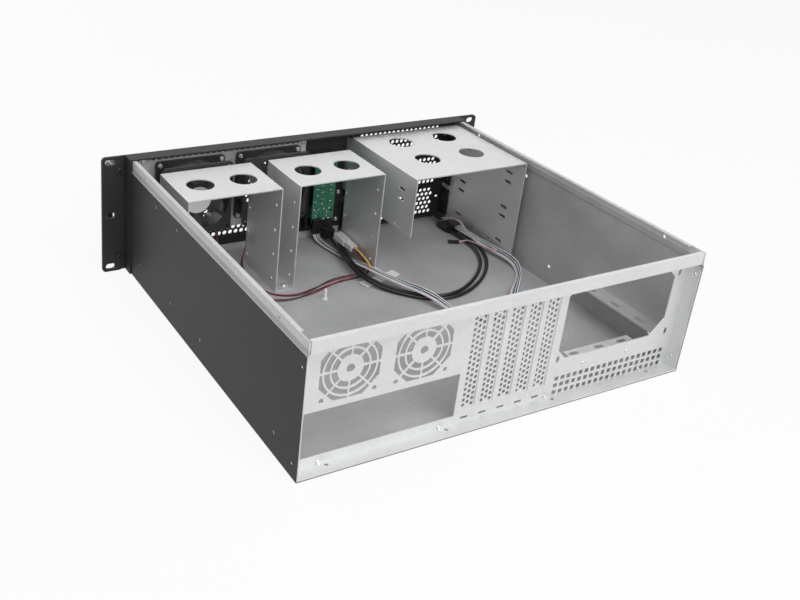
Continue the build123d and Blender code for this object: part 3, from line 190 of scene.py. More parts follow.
# Light rub marks that run along one direction
def makeRubMarks():
    tree, given, result = newGroup("rubMarks", {"Along": 60.0, "Across": 900.0, "Cover": 0.66}, ("Mask",))
    place = addNode(tree, "ShaderNodeTexCoord").outputs["Object"]
    parts = objectParts(tree)
    stretched = addNode(tree, "ShaderNodeCombineXYZ")
    for axis, scale in (("X", "Across"), ("Y", "Along"), ("Z", "Across")):
        scaled = mathNode(tree, "MULTIPLY", parts[axis], given.outputs[scale])
        tree.links.new(scaled, stretched.inputs[axis])
    streak = noise(tree, stretched.outputs["Vector"], 1.0, 1.0)
    patch = noise(tree, place, 30.0, 1.0)
    seen = mathNode(tree, "GREATER_THAN", streak, given.outputs["Cover"])
    tree.links.new(mathNode(tree, "MULTIPLY", seen, remap(tree, patch, 0.5, 0.7)), result.inputs["Mask"])


# Thin dust that settles on faces that look up
def makeSettledDust():
    tree, given, result = newGroup("settledDust", {"Amount": 0.3}, ("Mask",))
    place = addNode(tree, "ShaderNodeTexCoord").outputs["Object"]
    upward = remap(tree, faceParts(tree)["Z"], 0.3, 0.95)
    spread = remap(tree, noise(tree, place, 120.0, 3.0, 0.7), 0.35, 0.75)
    mask = mathNode(tree, "MULTIPLY", mathNode(tree, "MULTIPLY", upward, spread), given.outputs["Amount"])
    tree.links.new(mask, result.inputs["Mask"])


makeZincGrain()
makePowderSkin()
makeRubMarks()
makeSettledDust()


def newMaterial(name, roughness, metallic=0.0, specular=0.5):
    material = bpy.data.materials.new(name)
    material.use_nodes = True
    shader = material.node_tree.nodes["Principled BSDF"]
    shader.inputs["Roughness"].default_value = roughness
    shader.inputs["Metallic"].default_value = metallic
    shader.inputs["Specular IOR Level"].default_value = specular
    return material, material.node_tree, shader


def toned(tree, colour, tone):
    mix = addNode(tree, "ShaderNodeVectorMath", operation="SCALE")
    mix.inputs[0].default_value = colour
    tree.links.new(tone, mix.inputs["Scale"])
    return mix.outputs["Vector"]


def blendColour(tree, mask, first, second):
    mix = addNode(tree, "ShaderNodeMix", data_type="RGBA")
    tree.links.new(mask, mix.inputs["Factor"])
    for socket, value in ((mix.inputs[6], first), (mix.inputs[7], second)):
        if isinstance(value, tuple):
            socket.default_value = (*value, 1)
        else:
            tree.links.new(value, socket)
    return mix.outputs[2]


def blendNumber(tree, mask, first, second):
    mix = addNode(tree, "ShaderNodeMix", data_type="FLOAT")
    for socket, value in ((mix.inputs[0], mask), (mix.inputs[2], first), (mix.inputs[3], second)):
        tree.links.new(value, socket)
    return mix.outputs[0]


def feed(tree, shader, label, value):
    tree.links.new(value, shader.inputs[label])


def bumped(tree, shader, height, strength, distance):
    bump = addNode(tree, "ShaderNodeBump", Strength=strength, Distance=distance)
    tree.links.new(height, bump.inputs["Height"])
    tree.links.new(bump.outputs["Normal"], shader.inputs["Normal"])


# What the zinc grain adds to the roughness on average
grainRoughness = 0.05
zincLook = {
    "colour": (0.70, 0.705, 0.71), "roughness": 0.45, "metallic": 0.65, "bump": 0.10, "depth": 0.0002,
    "cloud": 0.05, "cells": 0.03, "rubbed": (0.75, 0.75, 0.76), "rubShare": 0.25,
}
coatLook = {
    "colour": (0.026, 0.026, 0.028), "roughness": 0.55, "specular": 0.25, "bump": 0.35, "depth": 0.0003,
    "rubbed": (0.12, 0.12, 0.125), "rubShare": 0.2, "rubFrom": 0.7,
    "dust": (0.35, 0.34, 0.33), "dustAmount": 0.06,
}
barLook = {**coatLook, "roughness": 0.38, "bump": 0.15}


def zincMaterial(name, look):
    material, tree, shader = newMaterial(name, look["roughness"], look["metallic"])
    grain = placeGroup(tree, "zincGrain", Cloud=look["cloud"], Cells=look["cells"])
    marks = placeGroup(tree, "rubMarks")
    base = toned(tree, look["colour"], grain.outputs["Tone"])
    faint = mathNode(tree, "MULTIPLY", marks.outputs["Mask"], look["rubShare"])
    feed(tree, shader, "Base Color", blendColour(tree, faint, base, look["rubbed"]))
    rough = mathNode(tree, "ADD", grain.outputs["Roughness"], look["roughness"] - grainRoughness)
    feed(tree, shader, "Roughness", rough)
    bumped(tree, shader, grain.outputs["Height"], look["bump"], look["depth"])
    return material


# Slot covers: painted shade on the punched edges below the shelf and on the feet behind the panel, which lie
# in shadow; these faces also lose their metal sheen
coverShade = {"footTop": 0.0088, "shelf": 0.118, "sideFrom": 0.6, "paintedShade": (0.13, 0.13, 0.132)}


def coverMaterial(name, look, shadePlan):
    material, tree, shader = newMaterial(name, look["roughness"])
    grain = placeGroup(tree, "zincGrain", Cloud=look["cloud"], Cells=look["cells"])
    place = objectParts(tree)
    turned = mathNode(tree, "LESS_THAN", mathNode(tree, "ABSOLUTE", faceParts(tree)["Y"]), shadePlan["sideFrom"])
    below = mathNode(tree, "LESS_THAN", place["Z"], shadePlan["shelf"])
    foot = mathNode(tree, "LESS_THAN", place["Z"], shadePlan["footTop"])
    # Painted shade: turned faces below the shelf, and the feet below footTop, take the dark shade colour
    paintedShade = mathNode(tree, "MAXIMUM", mathNode(tree, "MULTIPLY", turned, below), foot)
    base = toned(tree, look["colour"], grain.outputs["Tone"])
    feed(tree, shader, "Base Color", blendColour(tree, paintedShade, base, shadePlan["paintedShade"]))
    feed(tree, shader, "Metallic", remap(tree, paintedShade, 0, 1, look["metallic"], 0.0))
    rough = mathNode(tree, "ADD", grain.outputs["Roughness"], look["roughness"] - grainRoughness)
    feed(tree, shader, "Roughness", rough)
    bumped(tree, shader, grain.outputs["Height"], look["bump"], look["depth"])
    return material


def coatMaterial(name, look):
    material, tree, shader = newMaterial(name, look["roughness"], specular=look["specular"])
    skin = placeGroup(tree, "powderSkin")
    marks = placeGroup(tree, "rubMarks", Cover=look["rubFrom"])
    dust = placeGroup(tree, "settledDust", Amount=look["dustAmount"])
    base = toned(tree, look["colour"], skin.outputs["Tone"])
    faint = mathNode(tree, "MULTIPLY", marks.outputs["Mask"], look["rubShare"])
    rubbed = blendColour(tree, faint, base, look["rubbed"])
    feed(tree, shader, "Base Color", blendColour(tree, dust.outputs["Mask"], rubbed, look["dust"]))
    rough = mathNode(tree, "ADD", skin.outputs["Roughness"], look["roughness"])
    feed(tree, shader, "Roughness", rough)
    bumped(tree, shader, skin.outputs["Height"], look["bump"], look["depth"])
    return material


# The tray is coated outside and bare inside and on its rims. The coat starts halfway
# through the sheet. Painted shade darkens the bare zinc inside, where the walls shade the floor, and painted
# light makes the rims above rimFrom lighter
trayLook = {
    "coatFrom": 0.2134, "floorCoat": 0.0006, "rimFrom": 0.1235,
    # The inside colour is bare zinc darkened by painted shade; the rim colour is bare zinc lightened by
    # painted light on the top edges
    "inside": (0.42, 0.423, 0.428), "rim": (0.60, 0.603, 0.608),
    "rubbed": (0.60, 0.60, 0.61), "rubShare": 0.2,
    "cloud": 0.22, "cells": 0.04, "roughness": 0.56, "specular": 0.25, "metallic": 0.10,
    "bump": 0.15, "depth": 0.0002,
}


def trayMaterial(name, look):
    material, tree, shader = newMaterial(name, look["roughness"], specular=look["specular"])
    place = objectParts(tree)
    side = mathNode(tree, "GREATER_THAN", mathNode(tree, "ABSOLUTE", place["X"]), look["coatFrom"])
    under = mathNode(tree, "LESS_THAN", place["Z"], look["floorCoat"])
    outside = mathNode(tree, "MAXIMUM", side, under)
    # Painted light and shade by height: above rimFrom the bare zinc takes the lighter rim colour, below it
    # the darker shaded colour
    rim = mathNode(tree, "GREATER_THAN", place["Z"], look["rimFrom"])
    grain = placeGroup(tree, "zincGrain", Cloud=look["cloud"], Cells=look["cells"])
    marks = placeGroup(tree, "rubMarks")
    skin = placeGroup(tree, "powderSkin")
    tone = addNode(tree, "ShaderNodeVectorMath", operation="SCALE")
    tree.links.new(blendColour(tree, rim, look["inside"], look["rim"]), tone.inputs[0])
    tree.links.new(grain.outputs["Tone"], tone.inputs["Scale"])
    faint = mathNode(tree, "MULTIPLY", marks.outputs["Mask"], look["rubShare"])
    bare = blendColour(tree, faint, tone.outputs["Vector"], look["rubbed"])
    coat = toned(tree, coatLook["colour"], skin.outputs["Tone"])
    feed(tree, shader, "Base Color", blendColour(tree, outside, bare, coat))
    bareRough = mathNode(tree, "ADD", grain.outputs["Roughness"], look["roughness"] - grainRoughness)
    coatRough = mathNode(tree, "ADD", skin.outputs["Roughness"], coatLook["roughness"])
    feed(tree, shader, "Roughness", blendNumber(tree, outside, bareRough, coatRough))
    feed(tree, shader, "Metallic", remap(tree, outside, 0, 1, look["metallic"], 0.0))
    height = blendNumber(tree, outside, grain.outputs["Height"], skin.outputs["Height"])
    bumped(tree, shader, height, look["bump"], look["depth"])
    return material


plasticSkin = {"scale": 1500.0, "specks": 0.03, "dust": (0.42, 0.41, 0.40), "depth": 0.0001}


def plasticMaterial(name, colour, roughness, dustAmount, bump=0.15):
    material, tree, shader = newMaterial(name, roughness)
    skin = placeGroup(tree, "powderSkin", Specks=plasticSkin["specks"])
    skin.inputs["Peel Scale"].default_value = plasticSkin["scale"]
    dust = placeGroup(tree, "settledDust", Amount=dustAmount)
    base = toned(tree, colour, skin.outputs["Tone"])
    feed(tree, shader, "Base Color", blendColour(tree, dust.outputs["Mask"], base, plasticSkin["dust"]))
    feed(tree, shader, "Roughness", mathNode(tree, "ADD", skin.outputs["Roughness"], roughness))
    bumped(tree, shader, skin.outputs["Height"], bump, plasticSkin["depth"])
    return material


screwLook = {
    "colour": (0.68, 0.68, 0.67), "roughness": 0.27, "metallic": 0.85, "cloud": 0.12, "cells": 0.02,
    "bump": 0.1, "depth": 0.0001,
}


def screwMaterial(name, look):
    material, tree, shader = newMaterial(name, look["roughness"], look["metallic"])
    grain = placeGroup(tree, "zincGrain", Cloud=look["cloud"], Cells=look["cells"])
    feed(tree, shader, "Base Color", toned(tree, look["colour"], grain.outputs["Tone"]))
    rough = mathNode(tree, "ADD", grain.outputs["Roughness"], look["roughness"] - grainRoughness)
    feed(tree, shader, "Roughness", rough)
    bumped(tree, shader, grain.outputs["Height"], look["bump"], look["depth"])
    return material


# Circuit board: green mask over straight copper tracks, with pale through holes
boardLook = {
    "mask": (0.035, 0.20, 0.115),
    "track": (0.075, 0.33, 0.20),
    "hole": (0.50, 0.62, 0.50),
    "tracks": {"Mortar Size": 0.00022, "Brick Width": 0.0113, "Row Height": 0.0031, "Bias": 0.0},
    "holeScale": 230.0,
    "holeSize": 0.12,
    "depth": 0.0001,
}


def boardMaterial(name, look):
    material, tree, shader = newMaterial(name, 0.3)
    place = addNode(tree, "ShaderNodeTexCoord").outputs["Object"]
    turned = addNode(tree, "ShaderNodeMapping")
    turned.inputs["Rotation"].default_value = (math.pi / 2, 0, 0)
    tree.links.new(place, turned.inputs["Vector"])
    tracks = addNode(tree, "ShaderNodeTexBrick", Scale=1.0)
    tree.links.new(turned.outputs["Vector"], tracks.inputs["Vector"])
    for key, value in look["tracks"].items():
        tracks.inputs[key].default_value = value
    blotch = noise(tree, place, 160.0, 2.0)
    track = mathNode(tree, "MULTIPLY", tracks.outputs["Fac"], remap(tree, blotch, 0.4, 0.6))
    holes = addNode(tree, "ShaderNodeTexVoronoi", Scale=look["holeScale"], Randomness=0.9)
    tree.links.new(place, holes.inputs["Vector"])
    hole = mathNode(tree, "LESS_THAN", holes.outputs["Distance"], look["holeSize"])
    mask = blendColour(tree, track, look["mask"], look["track"])
    feed(tree, shader, "Base Color", blendColour(tree, hole, mask, look["hole"]))
    feed(tree, shader, "Roughness", remap(tree, blotch, 0.3, 0.7, 0.25, 0.4))
    bumped(tree, shader, track, 0.3, look["depth"])
    return material


def wireMaterial(name, colour, roughness=0.42):
    material, tree, shader = newMaterial(name, roughness)
    place = addNode(tree, "ShaderNodeTexCoord").outputs["Object"]
    soft = remap(tree, noise(tree, place, 260.0, 3.0), 0.3, 0.7, 0.85, 1.12)
    feed(tree, shader, "Base Color", toned(tree, colour, soft))
    rough = remap(tree, noise(tree, place, 900.0, 2.0), 0.3, 0.7, roughness - 0.08, roughness + 0.1)
    feed(tree, shader, "Roughness", rough)
    return material


def paperMaterial(name, colour):
    material, tree, shader = newMaterial(name, 0.45)
    place = addNode(tree, "ShaderNodeTexCoord").outputs["Object"]
    fibre = noise(tree, place, 1900.0, 3.0)
    feed(tree, shader, "Base Color", toned(tree, colour, remap(tree, fibre, 0.3, 0.7, 0.96, 1.03)))
    feed(tree, shader, "Roughness", remap(tree, fibre, 0.3, 0.7, 0.4, 0.5))
    bumped(tree, shader, fibre, 0.08, 0.00005)
    return material


looks = {
    "tray": trayMaterial("traySheet", trayLook),
    "sheet": zincMaterial("zincSheet", zincLook),
    "cover": coverMaterial("slotCoverZinc", zincLook, coverShade),
    "coat": coatMaterial("blackCoat", coatLook),
    "bar": coatMaterial("handleCoat", barLook),
    "screw": screwMaterial("zincScrew", screwLook),
    "fan": plasticMaterial("fanPlastic", (0.032, 0.032, 0.034), 0.42, dustAmount=0.2),
    # Painted highlight: the blades are the same grey-black plastic as the frames, and their lighter colour
    # stands in for the sheen on them
    "blade": plasticMaterial("bladePlastic", (0.12, 0.122, 0.128), 0.30, dustAmount=0.05, bump=0.05),
    "black": plasticMaterial("blackPlastic", (0.012, 0.012, 0.013), 0.42, dustAmount=0.08),
    "nylon": plasticMaterial("whiteNylon", (0.78, 0.78, 0.76), 0.4, dustAmount=0.05),
    "lamp": plasticMaterial("lampLens", (0.50, 0.58, 0.50), 0.25, dustAmount=0.0, bump=0.03),
    "board": boardMaterial("circuitBoard", boardLook),
    "cable": plasticMaterial("cableSheath", (0.007, 0.007, 0.0075), 0.33, dustAmount=0.02, bump=0.08),
    "label": paperMaterial("hubLabel", (0.92, 0.92, 0.91)),
    "solder": screwMaterial("solder", screwLook),
}
wireLooks = {
    "white": wireMaterial("wireWhite", (0.82, 0.83, 0.84)),
    "dark": wireMaterial("wireDark", (0.012, 0.014, 0.020)),
    "blue": wireMaterial("wireBlue", (0.50, 0.60, 0.70)),
    "pink": wireMaterial("wirePink", (0.70, 0.47, 0.50)),
    "red": wireMaterial("wireRed", (0.24, 0.025, 0.030)),
    "black": wireMaterial("wireBlack", (0.030, 0.020, 0.022)),
    "yellow": wireMaterial("wireYellow", (0.72, 0.43, 0.12)),
}
nodeLooks = {
    "tray": ["chassis"],
    "sheet": ["rear_panel", "drive_cage_left", "drive_cage_middle", "bay_cage", "fan_bracket",
              "supply_side_rail", "supply_rear_rail"],
    "cover": ["slot_cover_1", "slot_cover_2", "slot_cover_3", "slot_cover_4", "slot_cover_5"],
    "coat": ["front_panel", "bay_cover_bottom", "bay_cover_middle", "bay_cover_top"],
    "bar": ["handle_left", "handle_right", "handle_screws"],
    "screw": ["cage_screws", "bay_cage_screws", "holder_screws", "bracket_screws",
              "fan_screws", "slot_screws", "rail_rivets", "usb_ports"],
    "fan": ["fan_frame_left", "fan_frame_middle"],
    "blade": ["fan_rotor_left", "fan_rotor_middle"],
    "black": ["control_holder", "board_switches", "board_headers", "power_button", "reset_button",
              "usb_plug_1", "usb_plug_2", "lead_plugs", "corner_plug", "pink_plug"],
    "nylon": ["board_support", "cable_clip", "fan_plug"],
    "lamp": ["status_lamps"],
    "board": ["control_board"],
}
for look, names in nodeLooks.items():
    for name in names:
        for holder in nodes[name].material_slots:
            holder.material = looks[look]
print("materials made and given to the pieces")


# Cords: control points of their routes
def routeCurve(name, route, radius=0.0):
    data = bpy.data.curves.new(name, "CURVE")
    data.dimensions = "3D"
    data.resolution_u = 14
    spline = data.splines.new("NURBS")
    spline.points.add(len(route) - 1)
    for point, place in zip(spline.points, route):
        point.co = (*place, 1)
    spline.order_u = 3
    spline.use_endpoint_u = True
    data.bevel_depth = radius
    data.bevel_resolution = 5
    data.use_fill_caps = radius > 0
    curve = bpy.data.objects.new(name, data)
    scene.collection.objects.link(curve)
    return curve


def routeLine(name, route):
    guide = routeCurve(name + "Guide", route)
    mesh = bpy.data.meshes.new_from_object(guide)
    line = [v.co.copy() for v in mesh.vertices]
    bpy.data.meshes.remove(mesh)
    bpy.data.objects.remove(guide)
    return line


def lineLength(line):
    return sum((b - a).length for a, b in zip(line, line[1:]))


def readTable(table, share):
    for (a, first), (b, second) in zip(table, table[1:]):
        if share <= b:
            t = (share - a) / (b - a)
            return first + (second - first) * (3 * t * t - 2 * t * t * t)
    return table[-1][1]


def wireBundle(name, line, wires, offsets, radius, sides=8):
    total = lineLength(line)
    shape = bmesh.new()
    rings = [[] for wire in wires]
    walked = 0.0
    lastSide = Vector((1, 0, 0))
    for i, place in enumerate(line):
        before, after = line[max(i - 1, 0)], line[min(i + 1, len(line) - 1)]
        course = (after - before).normalized()
        side = course.cross(Vector((0, 0, 1)))
        side = side.normalized() if side.length > 0.05 else lastSide
        lastSide = side
        up = side.cross(course).normalized()
        if i:
            walked += (place - line[i - 1]).length
        for wire, (across, lift) in enumerate(offsets(walked / total)):
            middle = place + side * across + up * lift
            ring = []
            for k in range(sides):
                angle = 2 * math.pi * k / sides
                spoke = side * math.cos(angle) + up * math.sin(angle)
                ring.append(shape.verts.new(middle + spoke * radius))
            rings[wire].append(ring)
    for wire, wireRings in enumerate(rings):
        for first, second in zip(wireRings, wireRings[1:]):
            for k in range(sides):
                after = (k + 1) % sides
                face = shape.faces.new((first[k], first[after], second[after], second[k]))
                face.material_index = wire
                face.smooth = True
        for cap in (wireRings[0], wireRings[-1]):
            shape.faces.new(cap).material_index = wire
    bmesh.ops.recalc_face_normals(shape, faces=shape.faces)
    mesh = bpy.data.meshes.new(name)
    shape.to_mesh(mesh)
    shape.free()
    for wire in wires:
        mesh.materials.append(wireLooks[wire])
    bundle = bpy.data.objects.new(name, mesh)
    scene.collection.objects.link(bundle)
    return bundle


# Flat ribbon from the control board, under the cables, over them, and round to the corner
panelRibbon = {
    "wires": ["white", "dark", "white", "dark", "blue", "white", "pink"],
    "pitch": 0.00128,
    "radius": 0.00060,
    "diameter": 0.0089,
    "stray": 0.00022,
    "gather": [(0.0, 0.0), (0.90, 0.0), (1.0, 1.0)],
    "twist": [(0.0, 0), (0.10, 0), (0.22, -8), (0.36, -18), (0.46, 0), (0.50, 0),
              (0.66, 180), (0.72, 218), (0.78, 232), (0.88, 220), (0.96, 188), (1.0, 180)],
    "spread": [(0.0, 0.95), (0.08, 0.9), (0.18, 0.92), (0.34, 1.12), (0.5, 1.0), (0.8, 0.95), (1.0, 0.9)],
    "plugRows": [(0.0030, 0.00127), (0.0030, -0.00127), (0.0, 0.00127), (0.0, -0.00127),
                 (-0.0030, 0.00127), (-0.0030, -0.00127), (-0.0016, 0.0)],
    "route": [
        (-0.0156, -0.1629, 0.0120), (-0.0154, -0.1619, 0.0074), (-0.0160, -0.1555, 0.0044),
        (-0.0170, -0.1435, 0.0040), (-0.0208, -0.1235, 0.0041), (-0.0254, -0.0985, 0.0052),
        (-0.0296, -0.0725, 0.0090), (-0.0372, -0.0465, 0.0094), (-0.0454, -0.0215, 0.0104),
        (-0.0530, 0.0015, 0.0124), (-0.0600, 0.0215, 0.0114), (-0.0665, 0.0415, 0.0060),
        (-0.0780, 0.0590, 0.0062), (-0.0980, 0.0690, 0.0070), (-0.1210, 0.0665, 0.0066),
        (-0.1395, 0.0525, 0.0056), (-0.1530, 0.0360, 0.0048), (-0.1695, 0.0205, 0.0048),
        (-0.1870, 0.0050, 0.0044), (-0.1986, -0.0105, 0.0054), (-0.2016, -0.0220, 0.0082),
        (-0.2004, -0.0345, 0.0100), (-0.1976, -0.0555, 0.0098), (-0.1940, -0.0775, 0.0104),
        (-0.1914, -0.0985, 0.0118), (-0.1906, -0.1195, 0.0118),
    ],
}


def makeRibbon(plan):
    line = routeLine("panelRibbon", plan["route"])
    middle = (len(plan["wires"]) - 1) / 2

    def offsets(share):
        turn = math.radians(readTable(plan["twist"], share))
        spread = readTable(plan["spread"], share)
        gather = readTable(plan["gather"], share)
        places = []
        for wire in range(len(plan["wires"])):
            flat = (wire - middle) * plan["pitch"] * spread
            stray = plan["stray"] * math.sin(40 * share + wire * 2.1)
            across = flat * math.cos(turn)
            lift = flat * math.sin(turn) + stray
            goalAcross, goalLift = plan["plugRows"][wire]
            places.append((across + (goalAcross - across) * gather, lift + (goalLift - lift) * gather))
        return places

    ribbon = wireBundle("panelRibbon", line, plan["wires"], offsets, plan["radius"])
    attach(ribbon, "case")
    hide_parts("panel_ribbon")


makeRibbon(panelRibbon)

# Two black cables side by side, from the board's sockets to the plugs in the front corner
panelCables = {
    "radius": 0.0020,
    "first": [
        (-0.0334, -0.1549, 0.0116), (-0.0318, -0.1405, 0.0110), (-0.0266, -0.1205, 0.0102),
        (-0.0208, -0.0955, 0.0100), (-0.0174, -0.0715, 0.0094), (-0.0202, -0.0509, 0.0066),
        (-0.0304, -0.0315, 0.0042), (-0.0438, -0.0155, 0.0034), (-0.0582, -0.0021, 0.0035),
        (-0.0734, 0.0065, 0.0034), (-0.0910, 0.0085, 0.0035), (-0.1110, 0.0033, 0.0034),
        (-0.1340, -0.0095, 0.0035), (-0.1560, -0.0270, 0.0034), (-0.1730, -0.0465, 0.0035),
        (-0.1836, -0.0685, 0.0034), (-0.1868, -0.0875, 0.0035), (-0.1860, -0.1055, 0.0042),
        (-0.1854, -0.1235, 0.0049),
    ],
    "second": [
        (-0.0266, -0.1549, 0.0116), (-0.0254, -0.1415, 0.0112), (-0.0208, -0.1215, 0.0104),
        (-0.0152, -0.0965, 0.0102), (-0.0116, -0.0715, 0.0096), (-0.0146, -0.0485, 0.0070),
        (-0.0254, -0.0275, 0.0044), (-0.0394, -0.0105, 0.0036), (-0.0544, 0.0039, 0.0034),
        (-0.0716, 0.0127, 0.0035), (-0.0910, 0.0149, 0.0034), (-0.1126, 0.0099, 0.0035),
        (-0.1374, -0.0029, 0.0034), (-0.1606, -0.0209, 0.0035), (-0.1794, -0.0425, 0.0034),
        (-0.1914, -0.0669, 0.0035), (-0.1962, -0.0875, 0.0034), (-0.1972, -0.1055, 0.0042),
        (-0.1970, -0.1235, 0.0049),
    ],
}


def makeCable(name, route, node):
    cable = routeCurve(name, route, panelCables["radius"])
    cable.data.materials.append(looks["cable"])
    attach(cable, "case")
    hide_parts(node)
    lineLength(routeLine(name, route))


makeCable("panelCableFirst", panelCables["first"], "usb_cable_1")
makeCable("panelCableSecond", panelCables["second"], "usb_cable_2")

# Wire pairs: each lies as two wires side by side, turning slowly round each other
wirePairs = {
    "pinkPair": {
        "node": "pink_lead", "slot": "wire_pink", "wires": ["pink", "pink"], "radius": 0.00060,
        "turns": 0.6, "end": "plug", "plug": "pink_plug", "diameter": 0.0024,
        "route": [
            (-0.1972, -0.0495, 0.0106), (-0.1924, -0.0605, 0.0094), (-0.1902, -0.0715, 0.0084),
            (-0.1884, -0.0815, 0.0080), (-0.1856, -0.0891, 0.0078), (-0.1820, -0.0939, 0.0054),
            (-0.1780, -0.0973, 0.0029),
        ],
    },
    "cornerPair": {
        "node": "corner_lead", "slot": "wire_pink", "wires": ["pink", "white"], "radius": 0.00060,
        "turns": 0.5, "end": "plug", "plug": "corner_plug", "diameter": 0.0024,
        "route": [
            (-0.1916, -0.1055, 0.0146), (-0.1960, -0.1175, 0.0166), (-0.1980, -0.1295, 0.0158),
            (-0.1950, -0.1399, 0.0132), (-0.1885, -0.1485, 0.0110),
        ],
    },
    "fanLeadFirst": {
        "node": "fan_lead_left", "slot": "wire_red", "wires": ["red", "black"], "radius": 0.00064,
        "turns": 3.0, "end": "connector", "plug": "fan_plug", "diameter": 0.0026,
        "route": [
            (0.1180, -0.1531, 0.0420), (0.1180, -0.1521, 0.0280), (0.1174, -0.1471, 0.0140),
            (0.1164, -0.1345, 0.0052), (0.1148, -0.1155, 0.0027), (0.1136, -0.0935, 0.0028),
            (0.1110, -0.0705, 0.0027), (0.1020, -0.0525, 0.0028), (0.0840, -0.0457, 0.0027),
            (0.0640, -0.0469, 0.0028), (0.0450, -0.0515, 0.0027), (0.0260, -0.0587, 0.0028),
            (0.0080, -0.0627, 0.0027), (-0.0090, -0.0631, 0.0028), (-0.0240, -0.0647, 0.0027),
            (-0.0334, -0.0705, 0.0030), (-0.0358, -0.0795, 0.0048), (-0.0358, -0.0875, 0.0082),
            (-0.0348, -0.0951, 0.0124), (-0.0332, -0.1020, 0.0170),
        ],
    },
    "fanLeadSecond": {
        "node": "fan_lead_middle", "slot": "wire_red", "wires": ["red", "black"], "radius": 0.00064,
        "turns": 2.5, "end": "connector", "plug": "fan_plug", "diameter": 0.0026,
        "route": [
            (0.0800, -0.1531, 0.0420), (0.0804, -0.1526, 0.0290), (0.0832, -0.1501, 0.0150),
            (0.0892, -0.1451, 0.0060), (0.0956, -0.1335, 0.0029), (0.1000, -0.1155, 0.0027),
            (0.1020, -0.0935, 0.0028), (0.0986, -0.0715, 0.0027), (0.0856, -0.0555, 0.0028),
            (0.0660, -0.0515, 0.0027), (0.0470, -0.0569, 0.0028), (0.0290, -0.0641, 0.0027),
            (0.0120, -0.0685, 0.0028), (-0.0060, -0.0699, 0.0027), (-0.0190, -0.0705, 0.0028),
            (-0.0276, -0.0741, 0.0030), (-0.0328, -0.0805, 0.0044), (-0.0328, -0.0879, 0.0084),
            (-0.0306, -0.0953, 0.0128), (-0.0288, -0.1020, 0.0170),
        ],
    },
    "plugPair": {
        "node": "plug_pair", "slot": "wire_yellow", "wires": ["yellow", "yellow"], "radius": 0.00060,
        "turns": 0.0, "end": "object", "plug": None, "diameter": 0.0024,
        "route": [
            (-0.0310, -0.1020, 0.0190), (-0.0314, -0.0925, 0.0184), (-0.0328, -0.0825, 0.0150),
            (-0.0336, -0.0740, 0.0124), (-0.0322, -0.0652, 0.0082),
        ],
    },
}


def makePair(name, plan):
    line = routeLine(name, plan["route"])

    def offsets(share):
        turn = 2 * math.pi * plan["turns"] * share
        gap = plan["radius"] * (1.02 + 0.25 * math.sin(19 * share) ** 2)
        across, lift = gap * math.cos(turn), gap * math.sin(turn)
        return [(across, lift), (-across, -lift)]

    pair = wireBundle(name, line, plan["wires"], offsets, plan["radius"], 10)
    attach(pair, "case")
    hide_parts(plan["node"])


for pairName, pairPlan in wirePairs.items():
    makePair(pairName, pairPlan)
print("cords laid")


# Small pieces are shaped in edit mode, then their place goes into the mesh
def editPiece(piece):
    bpy.context.view_layer.objects.active = piece
    piece.select_set(True)
    bpy.ops.object.mode_set(mode="EDIT")
    bpy.ops.mesh.select_all(action="DESELECT")
    bpy.ops.object.mode_set(mode="OBJECT")


def selectFaces(piece, test):
    bpy.ops.object.mode_set(mode="OBJECT")
    for face in piece.data.polygons:
        face.select = test(face)
    bpy.ops.object.mode_set(mode="EDIT")
    bpy.ops.mesh.select_mode(type="FACE")


def settle(piece, name, material):
    bpy.ops.object.mode_set(mode="OBJECT")
    bpy.ops.object.transform_apply(location=True, rotation=True, scale=True)
    piece.name = name
    piece.data.materials.clear()
    piece.data.materials.append(material)
    bpy.ops.object.select_all(action="DESELECT")
    return piece


# Plain round label on each fan's motor seat, seen from behind
hubLabel = {
    "fans": {"Left": 0.1430, "Middle": 0.0485},
    "height": 0.0820,
    "seatY": -0.1515,
    "radius": 0.0152,
    "thickness": 0.0003,
    "rim": 0.0011,
    "rimStep": 0.00006,
    "dent": 0.0032,
    "dentEdge": 0.0004,
    "dentStep": -0.00012,
}


def makeHubLabel(side, x):
    bpy.ops.object.select_all(action="DESELECT")
    bpy.ops.mesh.primitive_cylinder_add(
        vertices=64, radius=hubLabel["radius"], depth=hubLabel["thickness"],
        location=(x, hubLabel["seatY"] + hubLabel["thickness"] / 2, hubLabel["height"]),
        rotation=(-math.pi / 2, 0, 0))
    label = bpy.context.active_object
    editPiece(label)
    selectFaces(label, lambda f: f.normal.z > 0.9)
    bpy.ops.mesh.inset(thickness=hubLabel["rim"], depth=hubLabel["rimStep"])
    bpy.ops.mesh.inset(thickness=hubLabel["radius"] - hubLabel["rim"] - hubLabel["dent"], depth=0)
    bpy.ops.mesh.inset(thickness=hubLabel["dentEdge"], depth=hubLabel["dentStep"])
    settle(label, "hubLabel" + side, looks["label"])
    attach(label, "case")


for side, x in hubLabel["fans"].items():
    makeHubLabel(side, x)
print("fan labels made")


